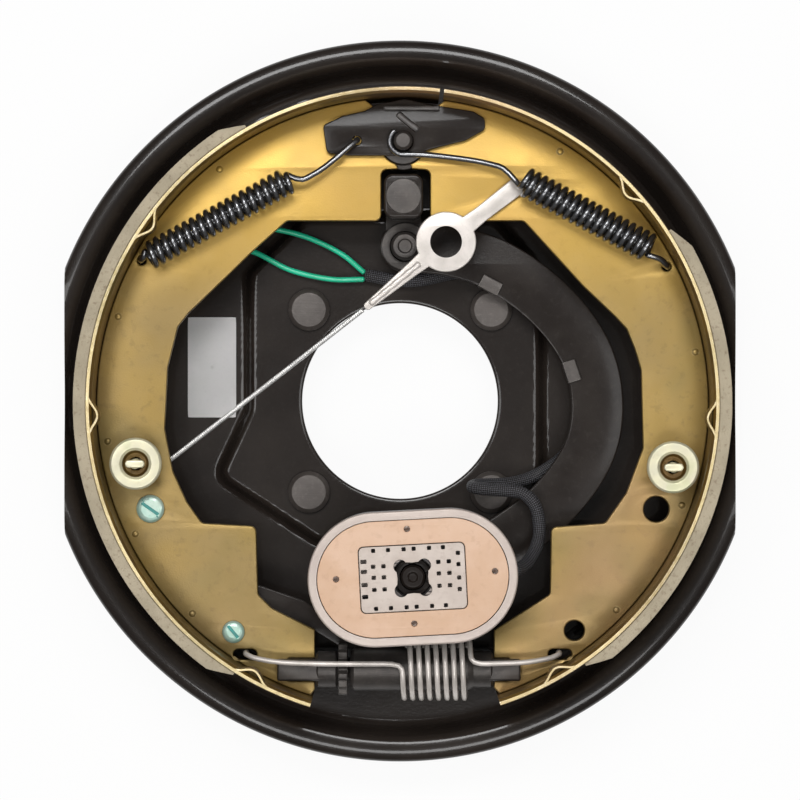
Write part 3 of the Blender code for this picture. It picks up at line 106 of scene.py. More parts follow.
class Effect(Enum):
    """The effects that several finishes share: each group's name, inputs and outputs."""

    PATCHES = ("patchy colour", {
        "Main": WHITE, "Second": WHITE, "Spots": WHITE, "Patch Scale": 20.0, "Spot Scale": 300.0,
        "Spot Amount": 0.3}, {"Color": WHITE})
    GRAIN = ("fine grain", {
        "Grain Scale": 1500.0, "Wave Scale": 60.0, "Wave Share": 0.5, "Roughness": 0.4,
        "Roughness Range": 0.2}, {"Height": 0.0, "Roughness": 0.0})
    WEAR = ("edge wear", {"Radius": 0.0006, "Amount": 1.0, "Break Scale": 400.0}, {"Mask": 0.0})
    DUST = ("settled dust", {"Amount": 0.2, "Scale": 90.0}, {"Mask": 0.0})
    DRAWN = ("drawn lines", {"Scale": 900.0}, {"Height": 0.0})


class Wiring:
    """A node tree, with short ways to place nodes in it and to join them."""

    def __init__(self, tree: bpy.types.NodeTree) -> None:
        """Takes the tree that gets the nodes."""
        self.tree = tree

    def fill(self, sockets: Any, values: dict[Any, Any]) -> None:
        """Gives inputs their numbers or colours, or links them to other nodes' outputs.

        Args:
            sockets: a node's inputs.
            values: what each gets, by its name or number; a tuple is a colour.
        """
        for key, value in values.items():
            if isinstance(value, bpy.types.NodeSocket):
                self.tree.links.new(value, sockets[key])
            else:
                sockets[key].default_value = (*value, 1.0) if isinstance(value, tuple) else value

    def node(self, kind: str, values: dict[Any, Any] | None = None, **options: Any) -> Any:
        """Places a node.

        Args:
            kind: Blender's name of the node, after "ShaderNode".
            values: what its inputs get.
            options: the node's own settings.

        Returns:
            The node's outputs.
        """
        node = self.tree.nodes.new("ShaderNode" + kind)
        for name, value in options.items():
            setattr(node, name, value)
        self.fill(node.inputs, values or {})
        return node.outputs

    def place(self) -> Any:
        """The object's own coordinates."""
        return self.node("TexCoord")["Object"]

    def normal(self) -> Any:
        """The surface's normal."""
        return self.node("NewGeometry")["Normal"]

    def part(self, vector: Any, axis: str) -> Any:
        """One axis of a vector."""
        return self.node("SeparateXYZ", {0: vector})[axis]

    def noise(self, scale: Any, detail: float, rough: float, place: Any = None) -> Any:
        """Noise on the object's own coordinates, or on those given."""
        values = {"Scale": scale, "Detail": detail, "Roughness": rough, "Vector": place or self.place()}
        return self.node("TexNoise", values)["Fac"]

    def math(self, operation: str, first: Any, second: Any = 0.0, clamp: bool = False) -> Any:
        """The result of an operation on two sockets or numbers."""
        return self.node("Math", {0: first, 1: second}, operation=operation, use_clamp=clamp)[0]

    def times(self, first: Any, second: Any, clamp: bool = False) -> Any:
        """Two sockets or numbers, multiplied."""
        return self.math("MULTIPLY", first, second, clamp)

    def step(self, value: Any, low: float, high: float) -> Any:
        """A smooth step from 0 at low to 1 at high."""
        values = {"Value": value, "From Min": low, "From Max": high}
        return self.node("MapRange", values, interpolation_type="SMOOTHSTEP")["Result"]

    def mix(self, share: Any, first: Any, second: Any) -> Any:
        """A colour between two."""
        return self.node("Mix", {0: share, 6: first, 7: second}, data_type="RGBA")[2]

    def effect(self, effect: Effect, values: dict[str, Any]) -> Any:
        """The outputs of a shared effect, placed with its own values."""
        return self.node("Group", values, node_tree=effect_group(effect))


class EffectWiring(Wiring):
    """The inside of a shared effect's group."""

    def __init__(self, effect: Effect) -> None:
        """Makes the group with its named sockets and wires it.

        Args:
            effect: the effect that is built.
        """
        name, inputs, outputs = effect.value
        super().__init__(bpy.data.node_groups.new(name, "ShaderNodeTree"))
        for way, sockets in (("INPUT", inputs), ("OUTPUT", outputs)):
            for label, value in sockets.items():
                kind = "NodeSocketColor" if value == WHITE else "NodeSocketFloat"
                socket = self.tree.interface.new_socket(name=label, in_out=way, socket_type=kind)
                socket.default_value = (*value, 1.0) if value == WHITE else value
        self.given = self.tree.nodes.new("NodeGroupInput").outputs
        made = getattr(self, effect.name.lower())()
        self.fill(self.tree.nodes.new("NodeGroupOutput").inputs, made)

    def patches(self) -> dict[str, Any]:
        """Three colours that run into each other in patches of two sizes.

        Returns:
            The colour.
        """
        broad = self.step(self.noise(self.given["Patch Scale"], 3.0, 0.5), 0.36, 0.64)
        fine = self.step(self.noise(self.given["Spot Scale"], 5.0, 0.6), 0.52, 0.72)
        spots = self.times(fine, self.given["Spot Amount"], True)
        base = self.mix(broad, self.given["Main"], self.given["Second"])
        return {"Color": self.mix(spots, base, self.given["Spots"])}

    def grain(self) -> dict[str, Any]:
        """A fine uneven surface, with the waves of a pressed or cast part under it.

        Returns:
            The relief and the uneven roughness.
        """
        fine = self.noise(self.given["Grain Scale"], 3.0, 0.6)
        wave = self.times(self.noise(self.given["Wave Scale"], 2.0, 0.4), self.given["Wave Share"])
        swing = self.math("SUBTRACT", self.noise(self.given["Wave Scale"], 6.0, 0.65), 0.5)
        spread = self.times(swing, self.given["Roughness Range"])
        return {"Height": self.math("ADD", fine, wave),
                "Roughness": self.math("ADD", self.given["Roughness"], spread, True)}

    def wear(self) -> dict[str, Any]:
        """A broken mask along sharp edges, from the angle between the rounded and the true normal.

        Returns:
            The mask.
        """
        bevel = self.node("Bevel", {"Radius": self.given["Radius"]}, samples=4)["Normal"]
        dot = self.node("VectorMath", {0: bevel, 1: self.normal()}, operation="DOT_PRODUCT")["Value"]
        edge = self.step(self.math("SUBTRACT", 1.0, dot, True), 0.01, 0.12)
        broken = self.step(self.noise(self.given["Break Scale"], 5.0, 0.7), 0.42, 0.6)
        return {"Mask": self.times(self.times(edge, broken), self.given["Amount"], True)}

    def dust(self) -> dict[str, Any]:
        """A thin uneven veil on the faces that look towards the drum.

        Returns:
            The mask.
        """
        upward = self.step(self.part(self.normal(), "Z"), 0.3, 0.95)
        cloud = self.step(self.noise(self.given["Scale"], 6.0, 0.7), 0.38, 0.75)
        return {"Mask": self.times(self.times(upward, cloud), self.given["Amount"], True)}

    def drawn(self) -> dict[str, Any]:
        """Fine lines left by drawing, turning or rolling, from noise stretched along one axis.

        Returns:
            The relief.
        """
        stretch = Vector((0.05, 1.0, 1.0))
        place = self.node("VectorMath", {0: self.place(), 1: stretch}, operation="MULTIPLY")[0]
        return {"Height": self.noise(self.given["Scale"], 3.0, 0.5, place)}


@cache
def effect_group(effect: Effect) -> bpy.types.NodeTree:
    """The node group of an effect, built when it is first asked for."""
    return EffectWiring(effect).tree


@dataclass(frozen=True)
class Finish:
    """A surface finish: its four colours, how it shines, and the sizes of its detail.

    The grouped values are: rough, the roughness and its range; patches, the scales of
    patches and of spots and the spots' amount; grain, the scales of grain and of waves
    and the waves' share; coat, its weight and its roughness.
    """

    name: str
    main: Colour
    second: Colour
    spots: Colour
    worn: Colour
    rough: Flat
    patches: Flat
    metallic: float = 0.0
    grain: Flat = (1600.0, 60.0, 0.4)
    bump: float = 0.05
    wear: float = 0.4
    wear_radius: float = 0.0005
    dust: float = 0.1
    dust_colour: Colour = (0.32, 0.3, 0.27)
    coat: Flat = (0.0, 0.2)
    specular: float = 0.5

    def material(self) -> bpy.types.Material:
        """Builds the finish's material.

        Returns:
            The new material.
        """
        made = bpy.data.materials.new(self.name)
        made.use_nodes = True
        tree = Wiring(made.node_tree)
        patch, spot, amount = self.patches
        colour = tree.effect(Effect.PATCHES, {
            "Main": self.main, "Second": self.second, "Spots": self.spots, "Patch Scale": patch,
            "Spot Scale": spot, "Spot Amount": amount})["Color"]
        fine, wave, share = self.grain
        grain = tree.effect(Effect.GRAIN, {
            "Grain Scale": fine, "Wave Scale": wave, "Wave Share": share,
            "Roughness": self.rough[0], "Roughness Range": self.rough[1]})
        worn = tree.effect(Effect.WEAR, {"Radius": self.wear_radius, "Amount": self.wear})["Mask"]
        dusty = tree.effect(Effect.DUST, {"Amount": self.dust})["Mask"]
        colour = tree.mix(worn, self.tint(tree, colour), self.worn)
        height = self.height(tree, grain["Height"])
        bump = tree.node("Bump", {"Strength": self.bump, "Distance": MM, "Height": height})
        tree.fill(made.node_tree.nodes["Principled BSDF"].inputs, {
            "Metallic": self.metallic, "Specular IOR Level": self.specular,
            "Coat Weight": self.coat[0], "Coat Roughness": self.coat[1],
            "Base Color": tree.mix(dusty, colour, self.dust_colour),
            "Roughness": grain["Roughness"], "Normal": bump["Normal"]})
        return made

    def tint(self, tree: Wiring, colour: Any) -> Any:
        """Changes the base colour before wear and dust; a plain finish leaves it as it is."""
        return colour

    def height(self, tree: Wiring, grain: Any) -> Any:
        """Adds relief to the grain; a plain finish adds none."""
        return grain


@dataclass(frozen=True)
class ChromateFinish(Finish):
    """Yellow chromated zinc, whose film turns rosy and olive in bands."""

    rosy: Colour = (0.3, 0.17, 0.09)
    olive: Colour = (0.13, 0.105, 0.03)
    band_scale: float = 9.0
    # Painted highlight: a lighter colour mixed in towards the part's top (+Y), where the webs catch the lamps.
    bright: Colour = (0.54, 0.33, 0.055)
    bright_share: float = 0.0

    def tint(self, tree: Wiring, colour: Any) -> Any:
        """Adds the film's slow change of hue, and a painted highlight that lightens the part towards its top
        (+Y).

        Args:
            tree: the material's tree.
            colour: the patchy base colour.

        Returns:
            The tinted colour's socket.
        """
        warm = tree.step(tree.noise(self.band_scale, 2.0, 0.5), 0.52, 0.68)
        dark = tree.step(tree.noise(self.band_scale * 1.7, 3.0, 0.5), 0.5, 0.68)
        # Painted highlight: a mask that rises towards +Y.
        upper = tree.step(tree.part(tree.place(), "Y"), 0.028, 0.078)
        for mask, share, film in ((warm, 0.45, self.rosy), (dark, 0.55, self.olive),
                                  (upper, self.bright_share, self.bright)):
            colour = tree.mix(tree.times(mask, share), colour, film)
        return colour


@dataclass(frozen=True)
class BraidFinish(Finish):
    """A braided sleeve: strands that cross along the tube, drawn from its UV map."""

    strands: float = 9.0
    picks: float = 60.0
    thread: Colour = (0.1, 0.1, 0.11)

    def weave(self, tree: Wiring) -> Any:
        """The raised strands' mask.

        Args:
            tree: the material's tree.

        Returns:
            A socket from 0, between strands, to 1.
        """
        uv = tree.node("UVMap")["UV"]
        around, along = (tree.times(tree.part(uv, axis), 2 * math.pi * count)
                         for axis, count in (("X", self.strands), ("Y", self.picks)))
        left, right = (tree.math("SINE", tree.math(way, around, along)) for way in ("ADD", "SUBTRACT"))
        return tree.step(tree.times(left, right), -0.6, 0.6)

    def tint(self, tree: Wiring, colour: Any) -> Any:
        """Lightens the raised strands."""
        return tree.mix(self.weave(tree), colour, self.thread)

    def height(self, tree: Wiring, grain: Any) -> Any:
        """Raises the strands over the gaps between them."""
        return tree.math("ADD", tree.times(grain, 0.3), self.weave(tree))


@dataclass(frozen=True)
class DrawnFinish(Finish):
    """Metal with the fine lines of drawing, turning or rolling."""

    line_scale: float = 1400.0

    def height(self, tree: Wiring, grain: Any) -> Any:
        """Adds the drawn lines to the grain."""
        lines = tree.effect(Effect.DRAWN, {"Scale": self.line_scale})["Height"]
        return tree.math("ADD", tree.times(grain, 0.4), lines)


FINISHES = {finish.name: finish for finish in (
    Finish("black paint", (0.016, 0.012, 0.01), (0.022, 0.017, 0.014), (0.036, 0.029, 0.025),
           (0.2, 0.185, 0.175), (0.24, 0.08), (28.0, 500.0, 0.25), grain=(900.0, 140.0, 0.8),
           bump=0.07, wear=0.45, dust=0.0, coat=(0.4, 0.08), specular=0.15),
    Finish("arm paint", (0.016, 0.012, 0.01), (0.024, 0.019, 0.016), (0.042, 0.035, 0.03),
           (0.14, 0.13, 0.12), (0.25, 0.1), (45.0, 420.0, 0.3), grain=(1200.0, 180.0, 0.7),
           bump=0.07, wear=0.45, dust=0.0, coat=(0.2, 0.12), specular=0.12),
    # Painted highlight: a lighter paint for the anchor plate's lip and swage and the arm's inner edge,
    # standing in for the lamps' glare on glossy black paint.
    Finish("painted highlight paint", (0.11, 0.1, 0.095), (0.055, 0.05, 0.048), (0.03, 0.026, 0.025),
           (0.42, 0.4, 0.38), (0.35, 0.2), (300.0, 350.0, 0.3), wear=0.5),
    Finish("teal film", (0.02, 0.2, 0.18), (0.03, 0.26, 0.23), (0.05, 0.12, 0.1),
           (0.2, 0.45, 0.4), (0.4, 0.2), (25.0, 350.0, 0.3), 0.3),
    DrawnFinish("dark steel", (0.058, 0.05, 0.045), (0.042, 0.037, 0.034), (0.12, 0.105, 0.095),
                (0.26, 0.24, 0.22), (0.42, 0.2), (80.0, 600.0, 0.3), 0.5,
                grain=(1800.0, 60.0, 0.4), bump=0.06, wear=0.5, dust=0.08),
    DrawnFinish("stud steel", (0.068, 0.057, 0.051), (0.056, 0.047, 0.042), (0.15, 0.13, 0.12),
                (0.3, 0.27, 0.25), (0.44, 0.2), (70.0, 500.0, 0.3), 0.35,
                grain=(1500.0, 60.0, 0.4), bump=0.07, wear=0.5, dust=0.08),
    DrawnFinish("spring steel", (0.36, 0.35, 0.34), (0.28, 0.27, 0.27), (0.18, 0.17, 0.16),
                (0.55, 0.54, 0.52), (0.32, 0.2), (90.0, 350.0, 0.3), 0.9),
    Finish("black spring", (0.17, 0.172, 0.178), (0.13, 0.131, 0.137), (0.07, 0.068, 0.068),
           (0.3, 0.3, 0.3), (0.24, 0.12), (120.0, 700.0, 0.25), 0.9, bump=0.04, wear=0.1,
           dust=0.0, coat=(1.0, 0.14), specular=0.9),
    DrawnFinish("bright zinc", (0.64, 0.59, 0.55), (0.53, 0.49, 0.45), (0.34, 0.32, 0.3),
                (0.8, 0.78, 0.75), (0.32, 0.2), (110.0, 800.0, 0.25), 0.3, wear=0.3, dust=0.08,
                line_scale=2200.0),
    DrawnFinish("cable strand", (0.78, 0.77, 0.75), (0.62, 0.61, 0.6), (0.35, 0.34, 0.33),
                (0.85, 0.85, 0.84), (0.34, 0.2), (200.0, 900.0, 0.3), 0.7, wear=0.1, dust=0.05),
    # Painted highlight: the webs' zinc lightens towards their top (+Y).
    ChromateFinish("yellow zinc", (0.28, 0.185, 0.05), (0.235, 0.16, 0.055), (0.14, 0.09, 0.03),
                   (0.5, 0.38, 0.18), (0.36, 0.2), (22.0, 260.0, 0.4), 0.55,
                   grain=(1400.0, 90.0, 0.4), bump=0.07, wear=0.55, wear_radius=0.0008,
                   dust_colour=(0.26, 0.2, 0.1), bright_share=0.6),
    ChromateFinish("table zinc", (0.62, 0.5, 0.26), (0.5, 0.4, 0.2), (0.3, 0.2, 0.09),
                   (0.86, 0.78, 0.6), (0.42, 0.2), (40.0, 220.0, 0.5), 0.5, bump=0.08, wear=0.9,
                   wear_radius=0.001, dust=0.12, dust_colour=(0.5, 0.42, 0.3)),
    # Painted shade: a darker copy of the table zinc, laid on the tables' side walls and in the hold-down cups'
    # recesses.
    ChromateFinish("painted shade zinc", (0.2, 0.115, 0.022), (0.12, 0.066, 0.014), (0.06, 0.032, 0.01),
                   (0.42, 0.28, 0.09), (0.42, 0.2), (50.0, 240.0, 0.5), 0.45, bump=0.08,
                   wear=0.5, dust=0.0),
    ChromateFinish("pale zinc", (0.7, 0.66, 0.46), (0.6, 0.57, 0.42), (0.34, 0.3, 0.16),
                   (0.8, 0.76, 0.58), (0.32, 0.2), (120.0, 300.0, 0.15), 0.35, bump=0.03,
                   wear=0.3, dust=0.0, rosy=(0.75, 0.6, 0.48), olive=(0.5, 0.52, 0.3),
                   band_scale=60.0),
    ChromateFinish("green zinc", (0.4, 0.58, 0.49), (0.5, 0.64, 0.56), (0.22, 0.38, 0.3),
                   (0.7, 0.78, 0.7), (0.3, 0.2), (150.0, 500.0, 0.3), 0.4, bump=0.06, wear=0.5,
                   dust=0.04, rosy=(0.6, 0.68, 0.58), olive=(0.16, 0.42, 0.33), band_scale=80.0),
    Finish("lining", (0.42, 0.36, 0.26), (0.35, 0.3, 0.215), (0.22, 0.17, 0.115),
           (0.55, 0.48, 0.36), (0.86, 0.1), (60.0, 620.0, 0.75), grain=(1100.0, 200.0, 0.4),
           bump=0.35, wear=0.7, dust=0.2, dust_colour=(0.46, 0.4, 0.3), specular=0.25),
    Finish("rubber", (0.018, 0.018, 0.019), (0.026, 0.026, 0.027), (0.045, 0.045, 0.045),
           (0.06, 0.06, 0.06), (0.62, 0.2), (90.0, 350.0, 0.3), bump=0.12, wear=0.2, dust=0.12),
    BraidFinish("braided sleeve", (0.01, 0.008, 0.007), (0.014, 0.011, 0.01),
                (0.03, 0.026, 0.025), (0.05, 0.05, 0.05), (0.5, 0.2), (100.0, 350.0, 0.3),
                bump=0.8, wear=0.0, dust=0.05, specular=0.3),
    Finish("label", (0.95, 0.93, 0.92), (0.91, 0.9, 0.88), (0.7, 0.69, 0.69), (0.93, 0.92, 0.91),
           (0.48, 0.2), (60.0, 700.0, 0.12), bump=0.04, wear=0.2, dust=0.05,
           dust_colour=(0.55, 0.53, 0.5)),
    Finish("copper face", (0.6, 0.385, 0.25), (0.65, 0.43, 0.295), (0.48, 0.29, 0.18),
           (0.84, 0.68, 0.55), (0.52, 0.2), (45.0, 300.0, 0.35), bump=0.1, wear=0.5, dust=0.08,
           dust_colour=(0.8, 0.68, 0.58)),
    Finish("cream core", (0.52, 0.44, 0.385), (0.57, 0.49, 0.435), (0.4, 0.32, 0.27),
           (0.86, 0.82, 0.76), (0.6, 0.2), (90.0, 420.0, 0.35), bump=0.12,
           dust_colour=(0.72, 0.63, 0.54)),
    Finish("magnet steel", (0.46, 0.39, 0.345), (0.41, 0.345, 0.31), (0.38, 0.31, 0.28),
           (0.74, 0.68, 0.64), (0.4, 0.2), (60.0, 420.0, 0.3), 0.3, bump=0.07, wear=0.6,
           wear_radius=0.0007),
    Finish("magnet shell", (0.1, 0.088, 0.085), (0.075, 0.068, 0.068), (0.15, 0.12, 0.1),
           (0.4, 0.34, 0.31), (0.45, 0.2), (60.0, 350.0, 0.3), 0.5, bump=0.08, wear=0.5),
    Finish("green lead", (0.01, 0.47, 0.25), (0.014, 0.53, 0.3), (0.03, 0.36, 0.2),
           (0.1, 0.62, 0.4), (0.34, 0.2), (160.0, 350.0, 0.15), bump=0.03, wear=0.0, dust=0.05,
           dust_colour=(0.3, 0.28, 0.26), coat=(0.3, 0.2)),
)}


# Lines and meshes

def at(flat: Flat, z: float) -> Vector:
    """A point of a flat outline, at a height."""
    return Vector((flat[0], flat[1], z))


def away(place: Flat, center: Flat) -> float:
    """The flat distance of a place from a centre."""
    return math.hypot(place[0] - center[0], place[1] - center[1])


def polar(center: Flat, radius: float, degrees: float) -> Vector:
    """A flat point at an angle and a distance from a centre."""
    angle = math.radians(degrees)
    return Vector((center[0] + radius * math.cos(angle), center[1] + radius * math.sin(angle)))


def arc(center: Flat, radius: float, start: float, end: float, count: int) -> Outline:
    """Points on an arc between two angles, both ends included."""
    return [polar(center, radius, start + (end - start) * i / count) for i in range(count + 1)]


def circle(center: Flat, radius: float, count: int) -> Outline:
    """A full circle of points, the first not repeated."""
    return arc(center, radius, 0, 360 * (count - 1) / count, count - 1)


def turned_about(center: Flat, outline: Loop, degrees: float) -> Outline:
    """An outline about the origin, turned and moved to a centre."""
    turn = Matrix.Rotation(math.radians(degrees), 2)
    return [Vector(center) + turn @ Vector(place) for place in outline]


def rounded(corners: Loop, radius: float, steps: int = 6, closed: bool = True) -> Outline:
    """An outline with a fillet at each corner, smaller where an edge is short.

    Args:
        corners: the outline's corners.
        radius: the fillets' radius.
        steps: points along each fillet.
        closed: an open line keeps its two end points as they are.

    Returns:
        The rounded outline.
    """
    outline: Outline = []
    places = [Vector(corner) for corner in corners]
    for i, corner in enumerate(places):
        before, after = places[i - 1] - corner, places[(i + 1) % len(places)] - corner
        incoming, outgoing = before.normalized(), after.normalized()
        half = incoming.angle(outgoing, math.pi) / 2
        if half > math.radians(86) or not closed and i in (0, len(places) - 1):
            outline.append(corner)
            continue
        reach = min(radius / math.tan(half), 0.45 * min(before.length, after.length))
        middle = corner + (incoming + outgoing).normalized() * (reach / math.cos(half))
        first = corner + incoming * reach - middle
        turn = first.angle_signed(corner + outgoing * reach - middle)
        spoke = first.normalized() * reach * math.tan(half)
        outline += [middle + Matrix.Rotation(-turn * step / steps, 2) @ spoke for step in range(steps + 1)]
    return outline


def box_outline(center: Flat, size: Flat, radius: float, degrees: float = 0.0) -> Outline:
    """A turned rectangle with rounded corners."""
    half = [(x * size[0], y * size[1]) for x, y in ((-0.5, -0.5), (0.5, -0.5), (0.5, 0.5), (-0.5, 0.5))]
    return rounded(turned_about(center, half, degrees), radius)


def stadium(center: Flat, length: float, breadth: float, degrees: float = 0.0, steps: int = 28) -> Outline:
    """A long outline whose ends are half circles.

    Args:
        center: its middle.
        length: its whole length.
        breadth: its breadth.
        degrees: how far it is turned.
        steps: faces round each end.

    Returns:
        The outline.
    """
    radius = breadth / 2
    reach = length / 2 - radius
    ends = arc((reach, 0), radius, -90, 90, steps) + arc((-reach, 0), radius, 90, 270, steps)
    return turned_about(center, ends, degrees)


def spline_through(places: Loop, steps: int) -> list[Vector]:
    """A smooth line through the given places, the last included.

    Args:
        places: points in space.
        steps: points made for each stretch between two places.

    Returns:
        Points along the line.
    """
    line = [Vector(place) for place in places]
    padded = [2 * line[0] - line[1], *line, 2 * line[-1] - line[-2]]
    smooth: list[Vector] = []
    for i in range(1, len(padded) - 2):
        a, b, c, d = padded[i - 1 : i + 3]
        for t in (step / steps for step in range(steps)):
            smooth.append(0.5 * (2 * b + (c - a) * t + (2 * a - 5 * b + 4 * c - d) * t * t
                                 + (3 * b - a - 3 * c + d) * t * t * t))
    return [*smooth, line[-1]]


def eased(path: Sequence[Vector]) -> list[Vector]:
    """A line with its corners softened twice, its ends kept.

    Args:
        path: the line's points.

    Returns:
        The softened points.
    """
    line = np.array([tuple(place) for place in path], float)
    for _ in range(2):
        line[1:-1] = line[1:-1] * 0.5 + (line[:-2] + line[2:]) * 0.25
    return [Vector(place) for place in line]


def ribbon(path: Loop, widths: Sequence[float], steps: int) -> Outline:
    """The outline of a flat strip along a smooth centre line, with round ends.

    Args:
        path: flat points of the centre line.
        widths: the strip's width at even shares of its length.
        steps: points made for each stretch of the path.

    Returns:
        The closed outline.
    """
    line = [place.xy for place in spline_through([(x, y, 0) for x, y in path], steps)]
    last = len(line) - 1
    left, right = [], []
    for i, place in enumerate(line):
        ahead = line[min(i + 1, last)] - line[max(i - 1, 0)]
        width = float(np.interp(i / last, np.linspace(0, 1, len(widths)), widths))
        half = Vector((-ahead.y, ahead.x)).normalized() * width / 2
        left.append(place + half)
        right.append(place - half)
    turns = [Matrix.Rotation(math.pi * i / 16, 2) for i in range(1, 16)]
    tip = [line[-1] + turn @ (right[-1] - line[-1]) for turn in turns]
    tail = [line[0] + turn @ (left[0] - line[0]) for turn in turns]
    return right + tip + left[::-1] + tail


def coil(start: Vector, end: Vector, radius: float, turns: float, drawn_in: float = 0.0) -> list[Vector]:
    """A helix.

    Args:
        start: where its axis starts.
        end: where its axis ends.
        radius: the radius of its centre line.
        turns: the number of turns.
        drawn_in: turns at each end over which the radius shrinks towards the hook.

    Returns:
        The helix's points.
    """
    axis = end - start
    side = axis.normalized().cross(Vector((0, 0, 1)))
    side = side.normalized() if side.length > 0.01 else Vector((1, 0, 0))
    up = side.cross(axis.normalized())
    count = int(turns * COIL_POINTS)
    places = []
    for i in range(count + 1):
        angle = 2 * math.pi * i / COIL_POINTS
        from_end = min(i, count - i) / COIL_POINTS
        share = min(1.0, 0.5 + 0.5 * from_end / drawn_in) if drawn_in else 1.0
        spoke = math.cos(angle) * side + math.sin(angle) * up
        places.append(start + axis * i / count + radius * share * spoke)
    return places


def quads(rows: int, columns: int, rows_meet: bool = False, columns_meet: bool = True) -> list[Any]:
    """The faces between the points of a grid.

    Args:
        rows: how many rows of points there are.
        columns: points in each row.
        rows_meet: joins the last row to the first.
        columns_meet: joins the last point of each row to its first.

    Returns:
        The faces, as the points' numbers.
    """
    faces = []
    for row in range(rows if rows_meet else rows - 1):
        here, there = row * columns, (row + 1) % rows * columns
        for a in range(columns if columns_meet else columns - 1):
            b = (a + 1) % columns
            faces.append((here + a, here + b, there + b, there + a))
    return faces


def handed_over(shape: bmesh.types.BMesh, mesh: Mesh | None = None) -> Mesh:
    """What has been modelled, as a mesh; the working copy is let go.

    Args:
        shape: the working copy.
        mesh: the mesh that takes it, a new one when none is given.

    Returns:
        The mesh.
    """
    mesh = mesh or bpy.data.meshes.new("form")
    shape.to_mesh(mesh)
    shape.free()
    return mesh


def cleaned(mesh: Mesh, weld: float = 0.0005, lift: float = 0.0) -> Mesh:
    """Welds a mesh's doubles and turns its faces outwards.

    Args:
        mesh: the mesh that is changed.
        weld: how near doubles are.
        lift: how far the mesh is raised.

    Returns:
        The same mesh.
    """
    shape = bmesh.new()
    shape.from_mesh(mesh)
    bmesh.ops.remove_doubles(shape, verts=shape.verts, dist=weld)
    bmesh.ops.recalc_face_normals(shape, faces=shape.faces)
    bmesh.ops.translate(shape, vec=(0, 0, lift), verts=shape.verts)
    return handed_over(shape, mesh)


def mesh_of(points: Any, faces: list[Any], uvs: Any = None) -> Mesh:
    """A clean mesh from points and faces.

    Args:
        points: the points.
        faces: the faces, as the points' numbers.
        uvs: the UV map's numbers for each corner of the faces.

    Returns:
        The mesh.
    """
    mesh = bpy.data.meshes.new("form")
    mesh.from_pydata([tuple(place) for place in points], [], faces)
    if uvs is not None:
        mesh.uv_layers.new(name="UVMap").data.foreach_set("uv", uvs)
    return cleaned(mesh)


def slab(loops: Sequence[Loop], low: float, high: float, bevel: float = 0.4, segments: int = 2) -> Mesh:
    """A flat piece with holes and rounded edges.

    Args:
        loops: the outline and the holes.
        low: height of the back face.
        high: height of the front face.
        bevel: radius of the rounded edges.
        segments: faces across half an edge's roundness.

    Returns:
        The mesh.
    """
    bevel = min(bevel, (high - low) * 0.49)
    curve = bpy.data.curves.new("slab", "CURVE")
    curve.dimensions = "2D"
    curve.fill_mode = "BOTH"
    curve.extrude = (high - low) / 2 - bevel
    curve.bevel_depth = bevel
    curve.bevel_resolution = segments
    curve.offset = -bevel
    for loop in loops:
        spline = curve.splines.new("POLY")
        spline.points.add(len(loop) - 1)
        for place, target in zip(loop, spline.points):
            target.co = (place[0], place[1], 0.0, 1.0)
        spline.use_cyclic_u = True
    return cleaned(evaluated(curve), 0.002, (low + high) / 2)


def evaluated(data: Any, steps: Sequence[tuple[str, Mesh]] = ()) -> Mesh:
    """The mesh that a curve or a mesh gives after Boolean steps.

    Args:
        data: the curve or the mesh.
        steps: each step's operation and the mesh that it uses.

    Returns:
        The resulting mesh.
    """
    link = bpy.context.scene.collection.objects.link
    base = bpy.data.objects.new("base", data)
    link(base)
    helpers = [base]
    for operation, tool in steps:
        helper = bpy.data.objects.new("tool", tool)
        link(helper)
        modifier = base.modifiers.new("step", "BOOLEAN")
        modifier.operation = operation
        modifier.object = helper
        helpers.append(helper)
    result = bpy.data.meshes.new_from_object(base.evaluated_get(bpy.context.evaluated_depsgraph_get()))
    for helper in helpers:
        bpy.data.objects.remove(helper, do_unlink=True)
    return result


def carved(mesh: Mesh, *cuts: Mesh, adds: Sequence[Mesh] = ()) -> Mesh:
    """A mesh with others joined to it first and then others cut from it."""
    return evaluated(mesh, [("UNION", tool) for tool in adds] + [("DIFFERENCE", tool) for tool in cuts])


def placed(mesh: Mesh, place: Sequence[float], turn: Matrix = Matrix.Identity(3)) -> Mesh:
    """A mesh turned about the origin and then moved."""
    mesh.transform(Matrix.Translation(Vector(place)) @ turn.to_4x4())
    return mesh


def lathe(profile: Loop, soft: float = 0.0, steps: int = 64, center: Flat = (0.0, 0.0)) -> Mesh:
    """A turned piece about +Z.

    Args:
        profile: radius and height down the piece; one that starts off the axis is closed as a ring.
        soft: radius that its corners are rounded with.
        steps: faces round the piece.
        center: where its axis stands.

    Returns:
        The mesh.
    """
    ring = profile[0][0] > 0 or profile[-1][0] > 0
    if soft:
        profile = rounded(profile, soft, 3, ring)
    points = []
    for step in range(steps):
        angle = 2 * math.pi * step / steps
        points += [(r * math.cos(angle), r * math.sin(angle), z) for r, z in profile]
    return placed(mesh_of(points, quads(steps, len(profile), True, ring)), (*center, 0.0))


